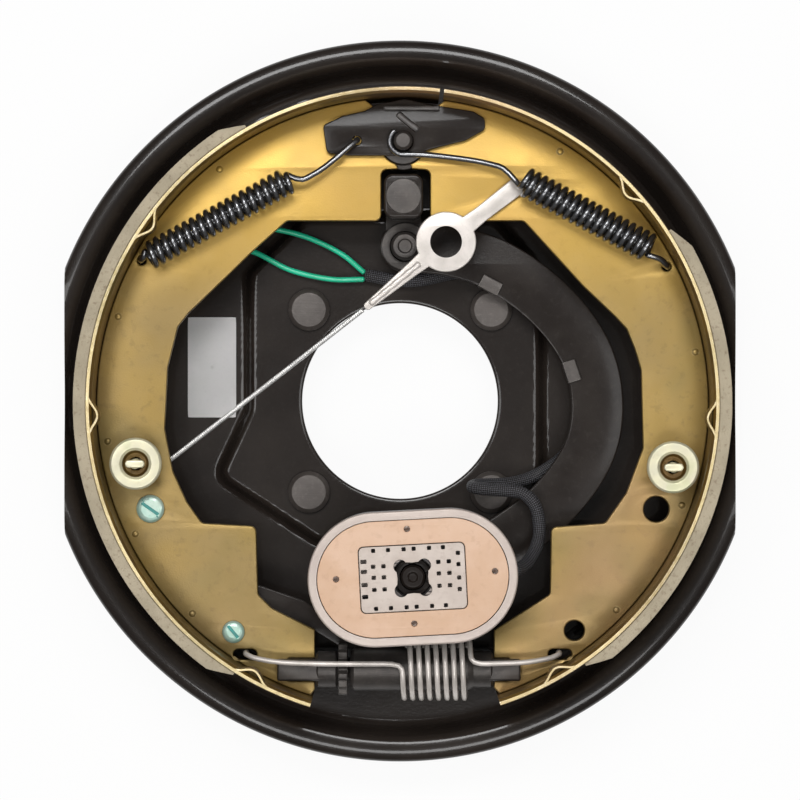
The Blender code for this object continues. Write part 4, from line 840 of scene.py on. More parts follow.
def tube(path: Sequence[Vector], radius: float | Sequence[float], sides: int = 12) -> Mesh:
    """A round wire with domed ends and a UV map: U once round it, V ten times its length in metres.

    Args:
        path: points of its centre line.
        radius: its radius, or one for each point.
        sides: faces round it.

    Returns:
        The mesh.
    """
    line = np.array([tuple(place) for place in path], float)
    radii = np.zeros(len(line)) + radius
    ahead = np.gradient(line, axis=0)
    ahead /= np.linalg.norm(ahead, axis=1)[:, None]
    normal = np.cross(ahead[0], (0.0, 0.0, 1.0))
    if np.linalg.norm(normal) < 0.1:
        normal = np.array((1.0, 0.0, 0.0))
    rows = []
    for place, along, size in zip(line, ahead, radii):
        normal = normal - along * float(normal @ along)
        normal /= np.linalg.norm(normal)
        rows.append((place, normal, size, along))
    domes = []
    for (place, side, size, along), outward in ((rows[0], -1), (rows[-1], 1)):
        domes.append([(place + outward * along * size * 0.6 * (1 - lift), side, size * share, along)
                      for lift, share in ((0.0, 0.0), (0.45, 0.75))])
    rows = domes[0] + rows + domes[1][::-1]
    points = []
    for place, side, size, along in rows:
        other = np.cross(along, side)
        for angle in (2 * math.pi * step / sides for step in range(sides)):
            points.append(place + size * (math.cos(angle) * side + math.sin(angle) * other))
    strides = [float(np.linalg.norm(b[0] - a[0])) for a, b in zip(rows, rows[1:])]
    lengths = np.cumsum([0.0, *strides]) * MM * 10
    uvs = []
    for low, high in zip(lengths, lengths[1:]):
        for left, right in ((step / sides, (step + 1) / sides) for step in range(sides)):
            uvs += [left, low, right, low, right, high, left, high]
    return mesh_of(points, quads(len(rows), sides), uvs)


def block(low: Flat, high: Flat, bevel: float, segments: int) -> Mesh:
    """A box between two corners, its edges rounded.

    Args:
        low: its lowest corner.
        high: its highest corner.
        bevel: the edges' radius.
        segments: faces across an edge.

    Returns:
        The mesh.
    """
    shape = bmesh.new()
    bmesh.ops.create_cube(shape, size=1.0)
    bmesh.ops.scale(shape, vec=[b - a for a, b in zip(low, high)], verts=shape.verts)
    bmesh.ops.translate(shape, vec=[(a + b) / 2 for a, b in zip(low, high)], verts=shape.verts)
    bmesh.ops.bevel(shape, geom=shape.edges[:], offset=bevel, segments=segments, profile=0.5, affect="EDGES")
    return handed_over(shape)


def merged(*meshes: Mesh) -> Mesh:
    """Several meshes as one, each kept whole.

    Args:
        meshes: the meshes.

    Returns:
        The new mesh.
    """
    shape = bmesh.new()
    for mesh in meshes:
        shape.from_mesh(mesh)
    return handed_over(shape)


def threaded(radius: float, low: float, high: float, depth: float, steps: int) -> Mesh:
    """A threaded shank about +Z with chamfered ends.

    Args:
        radius: the thread's outer radius.
        low: where the shank starts.
        high: where it ends.
        depth: depth of the thread.
        steps: faces round the shank.

    Returns:
        The mesh.
    """
    heights = np.linspace(low, high, int((high - low) / THREAD_PITCH * 6) + 1)
    points = []
    for z in heights:
        end = min(1.0, min(z - low, high - z) / THREAD_PITCH)
        for turn in (step / steps for step in range(steps)):
            wave = abs(((z / THREAD_PITCH - turn) % 1.0) * 2 - 1)
            r = (radius - depth * wave) * (0.86 + 0.14 * end)
            points.append((r * math.cos(2 * math.pi * turn), r * math.sin(2 * math.pi * turn), z))
    ends = [tuple(range(steps)), tuple(len(points) - 1 - step for step in range(steps))]
    return mesh_of(points, quads(len(heights), steps) + ends)


def slotted_rivet(center: Flat, radius: float, height: float, degrees: float, tail: Loop) -> Mesh:
    """A rivet with a domed, slotted head in front of a web.

    Args:
        center: its axis.
        radius: the head's radius.
        height: the head's height.
        degrees: the slot's direction.
        tail: the profile of the shank and the tail.

    Returns:
        The mesh.
    """
    top = BEFORE_WEB + height
    profile = [(0, top), (radius - 2.0, top), (radius - 0.9, top - 0.35), (radius - 0.1, top - 1.1),
               (radius, BEFORE_WEB + 0.5), (radius - 0.2, BEFORE_WEB), *tail]
    slot = slab([box_outline(center, (radius * 1.55, 1.35), 0.5, degrees)], top - 1.3, BEFORE_WEB + 5, 0.05)
    return carved(lathe(profile, 0.2, 64, center), slot)


# How a piece takes its place

@cache
def material_of(finish: str) -> bpy.types.Material:
    """The material of a finish, built when it is first asked for."""
    return FINISHES[finish].material()


def seat(mesh: Mesh, finish: str, node: str, name: str = "", smooth_angle: float = 35.0,
         between: Sequence[Any] = ()) -> bpy.types.Object:
    """Puts a finished piece in the place of a CAD node.

    Args:
        mesh: the piece, in millimetres and in the brake's frame.
        finish: the name of its finish.
        node: the CAD node that it stands for.
        name: its name, when that isn't the node's with "_form" added.
        smooth_angle: edges sharper than this stay sharp, in degrees.
        between: two bodies and two places that a soft piece runs between; when given, the piece is fixed in
            place and joined to no body.

    Returns:
        The placed object.
    """
    mesh.transform(Matrix.Scale(MM, 4))
    mesh.shade_smooth()
    mesh.set_sharp_from_angle(angle=math.radians(smooth_angle))
    mesh.materials.clear()
    mesh.materials.append(material_of(finish))
    mesh.polygons.foreach_set("material_index", [0] * len(mesh.polygons))
    obj = bpy.data.objects.new(name or f"{node}_form", mesh)
    bpy.context.scene.collection.objects.link(obj)
    if not between:
        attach(obj, frame["nodes"][node]["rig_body"])
    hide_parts(node)
    if between:
        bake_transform(obj)
    LOG.info("%s stands for %s, %d faces", obj.name, node, len(mesh.polygons))
    return obj


def second(obj: bpy.types.Object, finish: str, where: Callable[[Vector, Vector], bool]) -> None:
    """Gives some faces of a piece a further finish.

    Args:
        obj: the piece.
        finish: the name of the further finish.
        where: tells from a face's centre, in millimetres, and its normal whether it takes it.
    """
    obj.data.materials.append(material_of(finish))
    for face in obj.data.polygons:
        if where(face.center / MM, face.normal):
            face.material_index = len(obj.data.materials) - 1


# The backing plate and what it carries

def smooth_step(value: np.ndarray, low: float, high: float) -> np.ndarray:
    """A smooth step from 0 at low to 1 at high."""
    share = np.clip((value - low) / (high - low), 0, 1)
    return share * share * (3 - 2 * share)


def inside_distance(x: np.ndarray, y: np.ndarray, outline: Loop) -> np.ndarray:
    """Distance of points to a closed outline, positive inside it.

    Args:
        x: the points' x.
        y: the points' y.
        outline: the outline's corners.

    Returns:
        The signed distances.
    """
    nearest = np.full(x.shape, 1e9)
    inside = np.zeros(x.shape, bool)
    for a, b in zip(outline, [*outline[1:], outline[0]]):
        dx, dy = b[0] - a[0], b[1] - a[1]
        share = np.clip(((x - a[0]) * dx + (y - a[1]) * dy) / max(dx * dx + dy * dy, 1e-9), 0, 1)
        nearest = np.minimum(nearest, np.hypot(x - a[0] - share * dx, y - a[1] - share * dy))
        if abs(dy) > 1e-9:
            inside ^= ((a[1] > y) != (b[1] > y)) & (x < dx * (y - a[1]) / dy + a[0])
    return np.where(inside, nearest, -nearest)


@dataclass
class BackingPlate:
    """The pressed plate: a rolled rim with two straight sides, a raised pad and six shoe ledges."""

    field_z: float = 22.0
    sheet: float = 3.0
    pad_rise: float = 6.0
    ledge_rise: float = 7.7
    hub_radius: float = 39.4
    rim_radius: float = 145.2
    flat_x: float = 134.9
    turns: int = 432
    ledge_angles: Flat = (112.0, 180.0, 236.0, 304.0, 0.0, 62.0)
    pad_corners: Loop = (
        (-62.5, 52.0), (-38.5, 76.0), (38.4, 76.0), (58.4, 52.0), (58.4, -40.0), (42.4, -58.0),
        (-34.0, -58.0), (-75.4, -31.0), (-62.5, -3.0))
    rim_front: Loop = (
        (128.0, 22.0), (130.4, 22.2), (131.6, 23.4), (133.0, 26.6), (134.6, 30.4), (135.8, 32.2),
        (137.4, 33.0), (140.4, 33.1), (142.8, 32.9), (144.2, 32.2), (145.0, 30.9), (145.2, 29.2),
        (145.2, 27.6))
    rim_back: Loop = (
        (128.0, 19.0), (131.2, 19.1), (133.0, 20.4), (134.8, 24.4), (136.2, 27.8), (137.4, 29.4),
        (138.8, 30.0), (140.4, 30.0), (141.4, 29.6), (142.0, 28.9), (142.2, 28.2), (142.4, 27.6),
        (142.6, 27.5))

    def relief(self, x: np.ndarray, y: np.ndarray) -> np.ndarray:
        """Height of the pressing above the field.

        Args:
            x: the points' x.
            y: the points' y.

        Returns:
            The heights.
        """
        pad = inside_distance(x, y, rounded(self.pad_corners, 7.0))
        rise = self.pad_rise * smooth_step(pad, -0.6, 3.6)
        x, y = x - SHOE_CENTER[0], y - SHOE_CENTER[1]
        for angle in self.ledge_angles:
            cos, sin = math.cos(math.radians(angle)), math.sin(math.radians(angle))
            near = np.minimum(6.5 - np.abs(x * cos + y * sin - 120.5), 11.0 - np.abs(y * cos - x * sin))
            rise = np.maximum(rise, self.ledge_rise * smooth_step(near, -0.2, 2.4))
        return rise

    def build(self) -> Mesh:
        """Builds the pressing as two surfaces, front and back, a sheet apart.

        Returns:
            The mesh.
        """
        angles = np.linspace(0, 2 * math.pi, self.turns, endpoint=False)
        cos, sin = np.cos(angles), np.sin(angles)
        limit = np.minimum(self.rim_radius, self.flat_x / np.maximum(np.abs(cos), 1e-6))
        hub = self.hub_radius
        radii = [hub, hub + 0.25, hub + 0.8, *np.linspace(hub + 2.0, 127.0, 74)]
        drops = [0.8, 0.25] + [0.0] * len(radii)
        surfaces = []
        for rim, depth, sign in ((self.rim_front, 0.0, 1.0), (self.rim_back, self.sheet, -1.0)):
            rows = []
            for radius, drop in zip(radii, drops):
                x, y = radius * cos, radius * sin
                rows.append(np.stack([x, y, self.field_z + self.relief(x, y) - depth - sign * drop], 1))
            for radius, height in rim:
                kept = np.minimum(radius, limit)
                z = np.where(radius > limit, np.interp(limit, *np.transpose(rim)), height)
                rows.append(np.stack([kept * cos, kept * sin, z], 1))
            surfaces.append(rows)
        sheet = np.concatenate(surfaces[0] + surfaces[1][::-1])
        return mesh_of(sheet, quads(len(sheet) // self.turns, self.turns, True))

    def dress(self) -> None:
        """Builds the plate and seats it."""
        seat(self.build(), "black paint", "backing_plate", "plate_pressing", smooth_angle=50.0)


@dataclass
class MountingStuds:
    """Four studs pressed through the pad, with round heads and threaded shanks."""

    spacing: float = 73.4
    head_radius: float = 8.4
    shank_radius: float = 5.5
    seat_z: float = 28.3
    head_height: float = 3.2

    def build(self) -> Mesh:
        """One stud about +Z.

        Returns:
            The mesh.
        """
        top, head, shank = self.seat_z + self.head_height, self.head_radius, self.shank_radius
        profile = [(0.0, top), (head - 1.6, top), (head, top - 1.3), (head, self.seat_z),
                   (shank, self.seat_z), (shank, 20.0), (shank - 0.5, 19.0), (0.0, 19.0)]
        return merged(lathe(profile, 0.45, 56), threaded(shank, 0.0, 19.4, 0.7, 32))

    def dress(self) -> None:
        """Seats a stud at each corner of the square."""
        half = self.spacing / 2
        for i, place in enumerate([(x, y) for y in (half, -half) for x in (-half, half)], 1):
            seat(placed(self.build(), (*place, 0.0)), "stud steel", f"mounting_stud_{i}", f"stud_{i}")


@dataclass
class AnchorSet:
    """The anchor post at the top of the plate and the kite-shaped plate over the shoe ends."""

    tip_z: float = 71.0
    tip_radius: float = 3.7
    plate_back: float = 61.05
    plate_front: float = 63.65
    swage_ends: Loop = ((-0.6, 113.2), (3.2, 110.0), (6.8, 107.2))
    corners: Loop = (
        (-30.5, 109.0), (-22.5, 112.7), (-14.0, 114.6), (-9.0, 117.2), (2.0, 119.4), (11.5, 117.2),
        (29.0, 114.4), (33.6, 111.6), (33.6, 107.2), (25.7, 102.8), (11.5, 99.3), (6.3, 96.9),
        (-20.2, 96.9), (-28.9, 97.9))

    def post(self) -> Mesh:
        """The turned post with its seat, collar and riveted tail.

        Returns:
            The mesh.
        """
        tip, radius = self.tip_z, self.tip_radius
        profile = [
            (0.0, tip), (radius - 1.0, tip), (radius, tip - 0.9), (radius, WEB_HIGH), (9.0, WEB_HIGH),
            (9.0, BEHIND_WEB), (11.0, BEHIND_WEB), (11.0, PLATE_FRONT), (6.7, PLATE_FRONT),
            (6.7, PLATE_BACK), (10.0, PLATE_BACK), (9.0, 15.4), (6.0, 14.7), (0.0, 14.7)]
        return lathe(profile, 0.5, 56, ANCHOR_AXIS)

    def plate(self) -> Mesh:
        """The guide plate, with a hole for the left spring and a lip bent up along its top.

        Returns:
            The mesh.
        """
        low, high = self.plate_back, self.plate_front
        holes = [circle(ANCHOR_AXIS, self.tip_radius + 0.3, 40), circle((-17.0, 102.9), 1.75, 20)]
        flat = slab([rounded(self.corners[::-1], 2.2), *holes], low, high, 0.5, 3)
        lip = block((-6.4, 114.7, low + 0.4), (15.6, 116.5, high + 2.1), 0.6, 3)
        return merged(flat, lip, tube([at(place, high - 0.5) for place in self.swage_ends], 1.5, 16))

    def dress(self) -> None:
        """Seats the post and its plate, whose raised lip and swage get a painted highlight in a lighter paint.
        """
        seat(self.post(), "dark steel", "anchor_post", "anchor_post_turned")
        plate = seat(self.plate(), "arm paint", "anchor_plate", "anchor_guide_plate")
        # Painted highlight: faces above the plate's front take the lighter paint.
        second(plate, "painted highlight paint", lambda center, _: center.z > self.plate_front + 0.5)


@dataclass
class PlateFittings:
    """Small pieces on the plate: the leads' grommet, the slot plugs and the bare label."""

    grommet: Flat = (-70.0, 66.0)
    plugs: Loop = ((-28.0, -106.0), (28.0, -106.0))
    label_center: Flat = (-76.0, 13.6)
    label_size: Flat = (19.5, 40.5)
    label_steps: tuple[int, int] = (24, 48)

    def plug(self, place: Flat) -> Mesh:
        """The rubber plug in one of the adjusting slots.

        Args:
            place: the slot's middle.

        Returns:
            The mesh.
        """
        front = PLATE_FRONT
        return merged(slab([stadium(place, 19.4, 8.4)], PLATE_BACK - 1.5, front + 0.5, 0.4),
                      slab([stadium(place, 24.0, 13.0)], front, front + 1.6, 0.7, 3),
                      slab([stadium(place, 17.0, 6.6)], front + 1.0, front + 2.0, 0.6, 2))

    def label_card(self) -> Mesh:
        """The blank label, a front and a back on each other, lifted a little at one corner.

        Returns:
            The mesh.
        """
        columns, rows = self.label_steps
        shape = bmesh.new()
        grid = []
        for v in (row / rows * 2 - 1 for row in range(rows + 1)):
            for u in (column / columns * 2 - 1 for column in range(columns + 1)):
                corner = max(0.0, abs(u) + abs(v) - 1.86)
                lift = 0.35 * max(0.0, u + v - 1.5) + 0.05 * math.sin(7 * u) * math.sin(5 * v)
                x, y = (half * share * (1 - pull * corner) for half, share, pull in (
                    (self.label_size[0] / 2, u, 0.10), (self.label_size[1] / 2, v, 0.05)))
                grid.append(shape.verts.new((self.label_center[0] + x, self.label_center[1] + y,
                                             PLATE_FRONT + 0.3 + lift)))
        for face in quads(rows + 1, columns + 1, columns_meet=False):
            shape.faces.new([grid[corner] for corner in face])
        bmesh.ops.solidify(shape, geom=shape.faces[:], thickness=0.0)
        bmesh.ops.recalc_face_normals(shape, faces=shape.faces)
        return handed_over(shape)

    def dress(self) -> None:
        """Seats the grommet, the plugs and the label."""
        ring = [(3.2, 24.9), (4.6, 24.9), (6.0, 23.7), (6.0, PLATE_FRONT), (4.5, PLATE_FRONT),
                (4.5, PLATE_BACK), (6.0, PLATE_BACK), (6.0, 16.3), (3.2, 16.3)]
        seat(lathe(ring, 0.6, 40, self.grommet), "rubber", "wire_grommet", "lead_grommet")
        for side, place in zip(("left", "right"), self.plugs):
            seat(self.plug(place), "rubber", f"slot_plug_{side}", f"adjusting_plug_{side}")
        seat(self.label_card(), "label", "label", "label_card")


# Shoes

@dataclass
class BrakeShoe:
    """One shoe: a forked web, the table it is staked to and the bonded lining."""

    side: str
    table_angles: Flat
    lining_angles: Flat
    crimps: Flat
    welds: Flat
    web_outline: Outline
    holes: Sequence[Outline]
    table_radii: Flat = (121.3, 123.7)
    lining_radii: Flat = (123.75, 128.6)
    lining_taper: float = 4.5
    lining_end: float = 1.0
    eye_depth: float = 3.7
    weld_radius: float = 117.6

    def band(self, section: Outline, angles: Flat, taper: float = 0.0) -> Mesh:
        """A curved band swept round the shoe's centre.

        Args:
            section: its section, as radius and height.
            angles: its first and last angle.
            taper: degrees over which the outside runs down to each end, 0 for square ends.

        Returns:
            The mesh.
        """
        inner, outer = (pick(place[0] for place in section) for pick in (min, max))
        section = densified(section, 5.0)
        start, end = angles
        count = int(abs(end - start) / 0.75)
        points = []
        for angle in (start + (end - start) * i / count for i in range(count + 1)):
            kept = min(1.0, min(angle - start, end - angle) / taper) if taper else 1.0
            thin = (outer - inner - self.lining_end) * (1 - kept)
            for spoke, height in section:
                points.append(at(polar(SHOE_CENTER, spoke - thin * (spoke - inner) / (outer - inner), angle),
                                 height))
        rows = len(section)
        ends = [tuple(range(rows)), tuple(count * rows + row for row in range(rows))]
        return mesh_of(points, quads(count + 1, rows) + ends)

    def table(self) -> Mesh:
        """The table, an eye of its front edge opened inwards where each lug of the web is staked.

        Returns:
            The mesh.
        """
        inner, outer = self.table_radii
        section = [(outer, SHOE_LOW), (outer, SHOE_HIGH), (inner + 1.0, SHOE_HIGH),
                   (inner, SHOE_HIGH - 1.3), (inner, SHOE_LOW)]
        pieces = [self.band(rounded(section, 0.3, 3), self.table_angles)]
        for crimp in self.crimps:
            path = [polar(SHOE_CENTER, inner + 1.5 - self.eye_depth * (0.5 + 0.5 * math.cos(math.pi * t)),
                          crimp + t * 3.8) for t in np.linspace(-1, 1, 11)]
            eye = ribbon(path, (1.3, 1.1, 1.1, 1.1, 1.3), 4)
            pieces.append(slab([eye], SHOE_HIGH - 13, SHOE_HIGH - 0.1, 0.3))
        return merged(*pieces)

    def lining(self) -> Mesh:
        """The lining block, ground down towards its ends.

        Returns:
            The mesh.
        """
        inner, outer = self.lining_radii
        low, high = SHOE_LOW + 1.0, SHOE_HIGH - 1.0
        section = rounded([(outer, low), (outer, high), (inner, high), (inner, low)], 0.3, 3)
        return self.band(section, self.lining_angles, self.lining_taper)

    def web(self) -> Mesh:
        """The stamped web with its fork and holes, and the marks of the welds along its outer edge.

        Returns:
            The mesh.
        """
        top = WEB_HIGH
        dot = [(0, top + 0.5), (0.6, top + 0.45), (1.3, top + 0.1), (1.6, top - 0.2), (0, top - 0.2)]
        places = [polar(SHOE_CENTER, self.weld_radius, angle) for angle in self.welds]
        return merged(slab([self.web_outline, *self.holes], WEB_LOW, WEB_HIGH, 0.55, 2),
                      *[lathe(dot, 0.0, 20, place) for place in places])

    def dress(self) -> None:
        """Seats the web, the table and the lining."""
        shoe = f"{self.side}_shoe"
        seat(self.web(), "yellow zinc", f"{shoe}_web")
        table = seat(self.table(), "table zinc", f"{shoe}_table")
        # Painted shade: the table's side walls take the darker zinc.
        second(table, "painted shade zinc", lambda _, normal: abs(normal.z) < 0.75)
        seat(self.lining(), "lining", f"{shoe}_lining")


def densified(section: Loop, longest: float) -> Outline:
    """A closed section with points added so that no side is longer than a given length.

    Args:
        section: the section's corners.
        longest: the given length.

    Returns:
        The denser section.
    """
    dense: Outline = []
    for i, place in enumerate(section):
        here, there = Vector(place), Vector(section[(i + 1) % len(section)])
        steps = max(1, math.ceil((there - here).length / longest))
        dense += [here.lerp(there, step / steps) for step in range(steps)]
    return dense


def fork(floor: float, edge: float, low_leg: float) -> list[Flat]:
    """The corners of a web's fork, which takes the adjuster."""
    top, bottom = ADJUSTER_Y + 4.6, ADJUSTER_Y - 4.6
    return [(edge, low_leg), (edge, bottom), (floor, bottom), (floor, top), (edge, top)]


def secondary_shoe() -> BrakeShoe:
    """The shoe at the left, with the longer lining.

    Returns:
        The shoe.
    """
    inner_edge = [
        (-33.7, -90.5), (-50.7, -82.0), (-56.2, -76.5), (-57.0, -49.5), (-78.4, -48.3), (-84.3, -40.0),
        (-89.9, -27.7), (-93.1, -11.0), (-91.9, 13.1), (-87.9, 29.3), (-83.6, 34.8), (-68.8, 49.0),
        (-59.0, 58.6), (-44.8, 71.3), (-7.5, 71.3), (-7.5, 91.5), (-0.8, 91.9)]
    outline = arc(SHOE_CENTER, 121.0, 97, 252.5, 120)
    outline += rounded(fork(-44.5, -33.7, -114.0), 0.9, 4, closed=False)
    outline += rounded(inner_edge, 2.4, 6, closed=False) + arc(ANCHOR_AXIS, 9.3, 252, 118, 24)
    holes = [circle((-103.8, -24.6), 4.2, 32), circle((-98.7, -42.6), 3.0, 24),
             circle((-65.9, -91.3), 2.5, 24), circle((-102.2, 55.6), 1.8, 20),
             stadium((-61.3, -100.2), 9.5, 4.2, 0, 12)]
    return BrakeShoe("secondary", (83.2, 253.0), (119.5, 238.0), (145.0, 182.2, 241.0),
                     (128.0, 163.0, 187.3, 206.0, 225.0), outline, holes)


def primary_shoe() -> BrakeShoe:
    """The shoe at the right, with the shorter lining.

    Returns:
        The shoe.
    """
    inner_edge = [
        (4.8, 91.9), (12.0, 91.5), (12.0, 71.3), (49.0, 71.3), (72.4, 45.6), (85.2, 33.4), (89.8, 28.4),
        (93.0, 20.4), (95.4, 12.3), (96.2, -18.6), (89.5, -36.4), (81.2, -48.3), (59.8, -49.9),
        (59.4, -76.5), (37.2, -90.7)]
    outline = arc(ANCHOR_AXIS, 9.3, 62, -72, 24) + rounded(inner_edge, 2.4, 6, closed=False)
    outline += rounded(fork(43.6, 37.2, -113.4)[::-1], 0.9, 4, closed=False)
    outline += arc(SHOE_CENTER, 121.0, -71.5, 82, 120)
    holes = [circle((107.2, -26.0), 4.2, 32), circle((101.4, -42.8), 5.1, 36),
             circle((69.0, -90.8), 4.0, 32), circle((45.4, 84.2), 2.2, 24),
             circle((105.4, 53.2), 1.8, 20), stadium((63.3, -100.2), 9.5, 4.2, 0, 12)]
    return BrakeShoe("primary", (-72.0, 82.4), (-55.0, 33.0), (43.0, -2.7, -60.0),
                     (58.0, 28.0, 10.0, -20.0, -44.0), outline, holes)


@dataclass
class HoldDown:
    """A shoe hold-down: the pin, its two cups and the spring between them."""

    side: str
    center: Flat
    slot_turn: float
    cup_z: float = 75.0
    cup_radius: float = 10.2
    pin_radius: float = 2.0
    pin_top: float = 79.6
    spring_radius: float = 6.6
    spring_turns: float = 3.5

    def cup(self) -> Mesh:
        """The pressed outer cup, dished round the pin's slot.

        Returns:
            The mesh.
        """
        top, reach = self.cup_z, self.cup_radius
        profile = [
            (2.6, top - 1.9), (4.3, top - 1.9), (5.3, top + 0.2), (6.3, top + 1.1), (9.4, top + 1.1),
            (reach, top + 0.3), (reach, top - 4.0), (reach - 0.9, top - 4.0), (reach - 1.1, top - 0.2),
            (8.8, top + 0.2), (6.5, top + 0.2), (5.9, top - 0.4), (4.7, top - 2.8), (2.6, top - 2.8)]
        slot = placed(slab([box_outline((0, 0), (8.6, 2.6), 0.6)], top - 2.0, top + 3.0, 0.05), (0, 0, 0),
                      Matrix.Rotation(math.radians(self.slot_turn), 3, "Z"))
        return placed(carved(lathe(profile, 0.45, 72), slot), (*self.center, 0.0))

    def pin(self) -> Mesh:
        """The pin with its flattened head, turned across the cup's slot, and its nail head behind.

        Returns:
            The mesh.
        """
        top, radius = self.pin_top, self.pin_radius
        shank = lathe([(0, top), (radius - 0.4, top), (radius, top - 0.6), (radius, PLATE_BACK),
                       (4.4, PLATE_BACK), (4.5, 18.2), (4.0, 16.9), (0, 16.7)], 0.0, 40)
        head = slab([stadium((0, 0), 7.6, 3.0, 0, 16)], top - 1.8, top + 0.98, 0.5, 3)
        return placed(merged(shank, head), (*self.center, 0.0))

    def dress(self) -> None:
        """Seats the hold-down's four pieces."""
        low = BEFORE_WEB
        cup = seat(self.cup(), "pale zinc", f"hold_down_cup_{self.side}")
        # Painted shade: the cup's recess round the pin takes the darker zinc.
        second(cup, "painted shade zinc",
               lambda center, _: center.z < self.cup_z + 0.1 and away(center, self.center) < 6.0)
        seat(self.pin(), "pale zinc", f"hold_down_pin_{self.side}")
        washer = [(2.6, low + 1.2), (7.3, low + 1.2), (7.8, low + 2.6), (8.8, low + 2.6),
                  (8.8, low + 0.6), (8.2, low), (2.6, low)]
        seat(lathe(washer, 0.3, 64, self.center), "pale zinc", f"hold_down_inner_cup_{self.side}")
        path = coil(at(self.center, low + 1.2 + 1.3), at(self.center, self.cup_z - 1.5),
                    self.spring_radius, self.spring_turns)
        seat(tube(path, 0.9), "spring steel", f"hold_down_spring_{self.side}")


# The actuating arm and the magnet

@dataclass
class ActuatingArm:
    """The stamped lever: a curved strap, the cam block between the shoe ends and the wire clips."""

    line: Loop = (
        (2.0, 61.8), (20.0, 60.2), (40.0, 53.6), (60.0, 39.0), (74.0, 20.4), (79.0, 0.4), (76.0, -19.6),
        (64.0, -38.0), (47.0, -52.6), (27.0, -63.6), (5.0, -68.8))
    width: float = 20.8
    boss_radius: float = 10.2
    bore_radius: float = 6.0
    post_hole: float = 5.1
    cam_low: Flat = (-6.3, 72.3)
    cam_high: Flat = (9.1, 89.8)
    cam_top: float = 62.5
    crown_radius: float = 7.1
    clip_shares: Flat = (0.2, 0.43)
    clip_half: float = 4.2
    clip_sheet: float = 1.1

    def build(self) -> Mesh:
        """The strap with its two holes, the neck and the cam block, its flanks rounded by use.

        Returns:
            The mesh.
        """
        widths = (self.boss_radius * 2, *[self.width] * 4)
        strap = slab([ribbon(self.line, widths, 14), circle(PIVOT_AXIS, self.bore_radius, 48),
                      circle(MAGNET_AXIS, self.post_hole, 40)], ARM_LOW, ARM_HIGH, 0.7, 3)
        (left, low), (right, high) = self.cam_low, self.cam_high
        neck = slab([[(left + 0.6, 66.0), (right - 0.6, 66.0), (right - 0.6, high - 3),
                      (left + 0.6, high - 3)]], ARM_LOW + 0.05, ARM_HIGH - 0.05, 0.3)
        top = self.cam_top
        cam = slab([rounded([(left, low), (right, low), (right, high), (left, high)], 3.6, 8)],
                   ARM_LOW + 0.02, top, 1.1, 4)
        crown = slab([circle(((left + right) / 2, (low + high) / 2), self.crown_radius, 56)],
                     top - 0.8, top + 0.5, 0.45, 3)
        return merged(strap, merged(neck, cam, crown))

    @staticmethod
    def rubbed(center: Vector, normal: Vector) -> bool:
        """Whether a face is on the inner edge of the bend, which gets a painted highlight in a lighter paint.
        """
        return (0.1 < normal.z < 0.97 and normal.x < -0.05 and 30 < center.x < 68 and 12 < center.y < 56
                and ARM_HIGH - 0.8 < center.z < ARM_HIGH + 0.1)

    def clip(self, share: float) -> Mesh:
        """A strip folded over the arm's inner edge.

        Args:
            share: where it sits, as a share of the arm's length.

        Returns:
            The mesh.
        """
        line = [place.xy for place in spline_through([(x, y, 0) for x, y in self.line], 10)]
        i = int(share * (len(line) - 1))
        along = (line[i + 1] - line[i - 1]).normalized()
        outward = Vector((-along.y, along.x))
        edge = line[i] - outward * self.width / 2
        back, front, sheet, half = ARM_LOW - 0.3, ARM_HIGH + 0.3, self.clip_sheet, self.clip_half
        near, far = -0.6, 5.0
        fold = rounded([(far, front), (near + sheet, front), (near + sheet, back), (far, back),
                        (far, back - sheet), (near, back - sheet), (near, front + sheet),
                        (far, front + sheet)], 0.45, 3)
        points = []
        for side, inset in ((-half, 0.12), (0.3 - half, 0.0), (half - 0.3, 0.0), (half, 0.12)):
            for reach, height in fold:
                reach -= inset if reach > 2.0 else 0.0
                points.append(at(edge + outward * reach + along * side, height))
        rows = len(fold)
        ends = [tuple(range(rows)), tuple(3 * rows + row for row in range(rows))]
        return mesh_of(points, ends + quads(4, rows))

    def dress(self) -> None:
        """Seats the arm and its clips."""
        arm = seat(self.build(), "arm paint", "actuating_arm")
        second(arm, "dark steel", lambda center, _: center.z > self.cam_top + 0.1)
        # Painted highlight along the arm's inner edge.
        second(arm, "painted highlight paint", self.rubbed)
        for number, share in enumerate(self.clip_shares, 1):
            seat(self.clip(share), "dark steel", f"wire_clip_{number}")


def open_ring(center: Flat, outer: Flat, inner: Flat, half_gap: float, soft: float, heights: Flat) -> Mesh:
    """A flat ring that is open at the right.

    Args:
        center: its middle.
        outer: radius and steps of its outside.
        inner: radius and steps of its inside.
        half_gap: half of the opening, in degrees.
        soft: radius of its four corners.
        heights: its back, its front and the radius of its edges.

    Returns:
        The mesh.
    """
    outside = arc(center, outer[0], half_gap, 360 - half_gap, outer[1])
    inside = arc(center, inner[0], 360 - half_gap, half_gap, inner[1])
    return slab([rounded(outside + inside, soft, 3)], *heights)


@dataclass
class PivotSet:
    """The stud that the arm swings on and the ring that keeps the arm."""

    top: float = 48.0
    radius: float = 5.7
    flange_radius: float = 9.0

    def dress(self) -> None:
        """Seats the stud and the ring."""
        top, radius, flange = self.top, self.radius, self.flange_radius
        profile = [
            (0, top - 0.5), (2.4, top - 0.5), (3.0, top), (4.6, top), (radius, top - 1.1), (radius, 44.6),
            (5.1, 44.4), (5.1, 43.0), (radius, 42.8), (radius, ARM_BACK), (flange, ARM_BACK),
            (flange, 28.3), (5.0, 28.3), (5.0, 24.7), (7.5, 24.7), (7.4, 23.4), (6.5, 21.5), (0, 21.5)]
        seat(lathe(profile, 0.25, 64, PIVOT_AXIS), "dark steel", "lever_pivot_stud")
        ring = open_ring(PIVOT_AXIS, (9.4, 64), (6.0, 56), 25, 0.5, (41.3, 42.7, 0.3))
        seat(ring, "dark steel", "lever_pivot_clip")


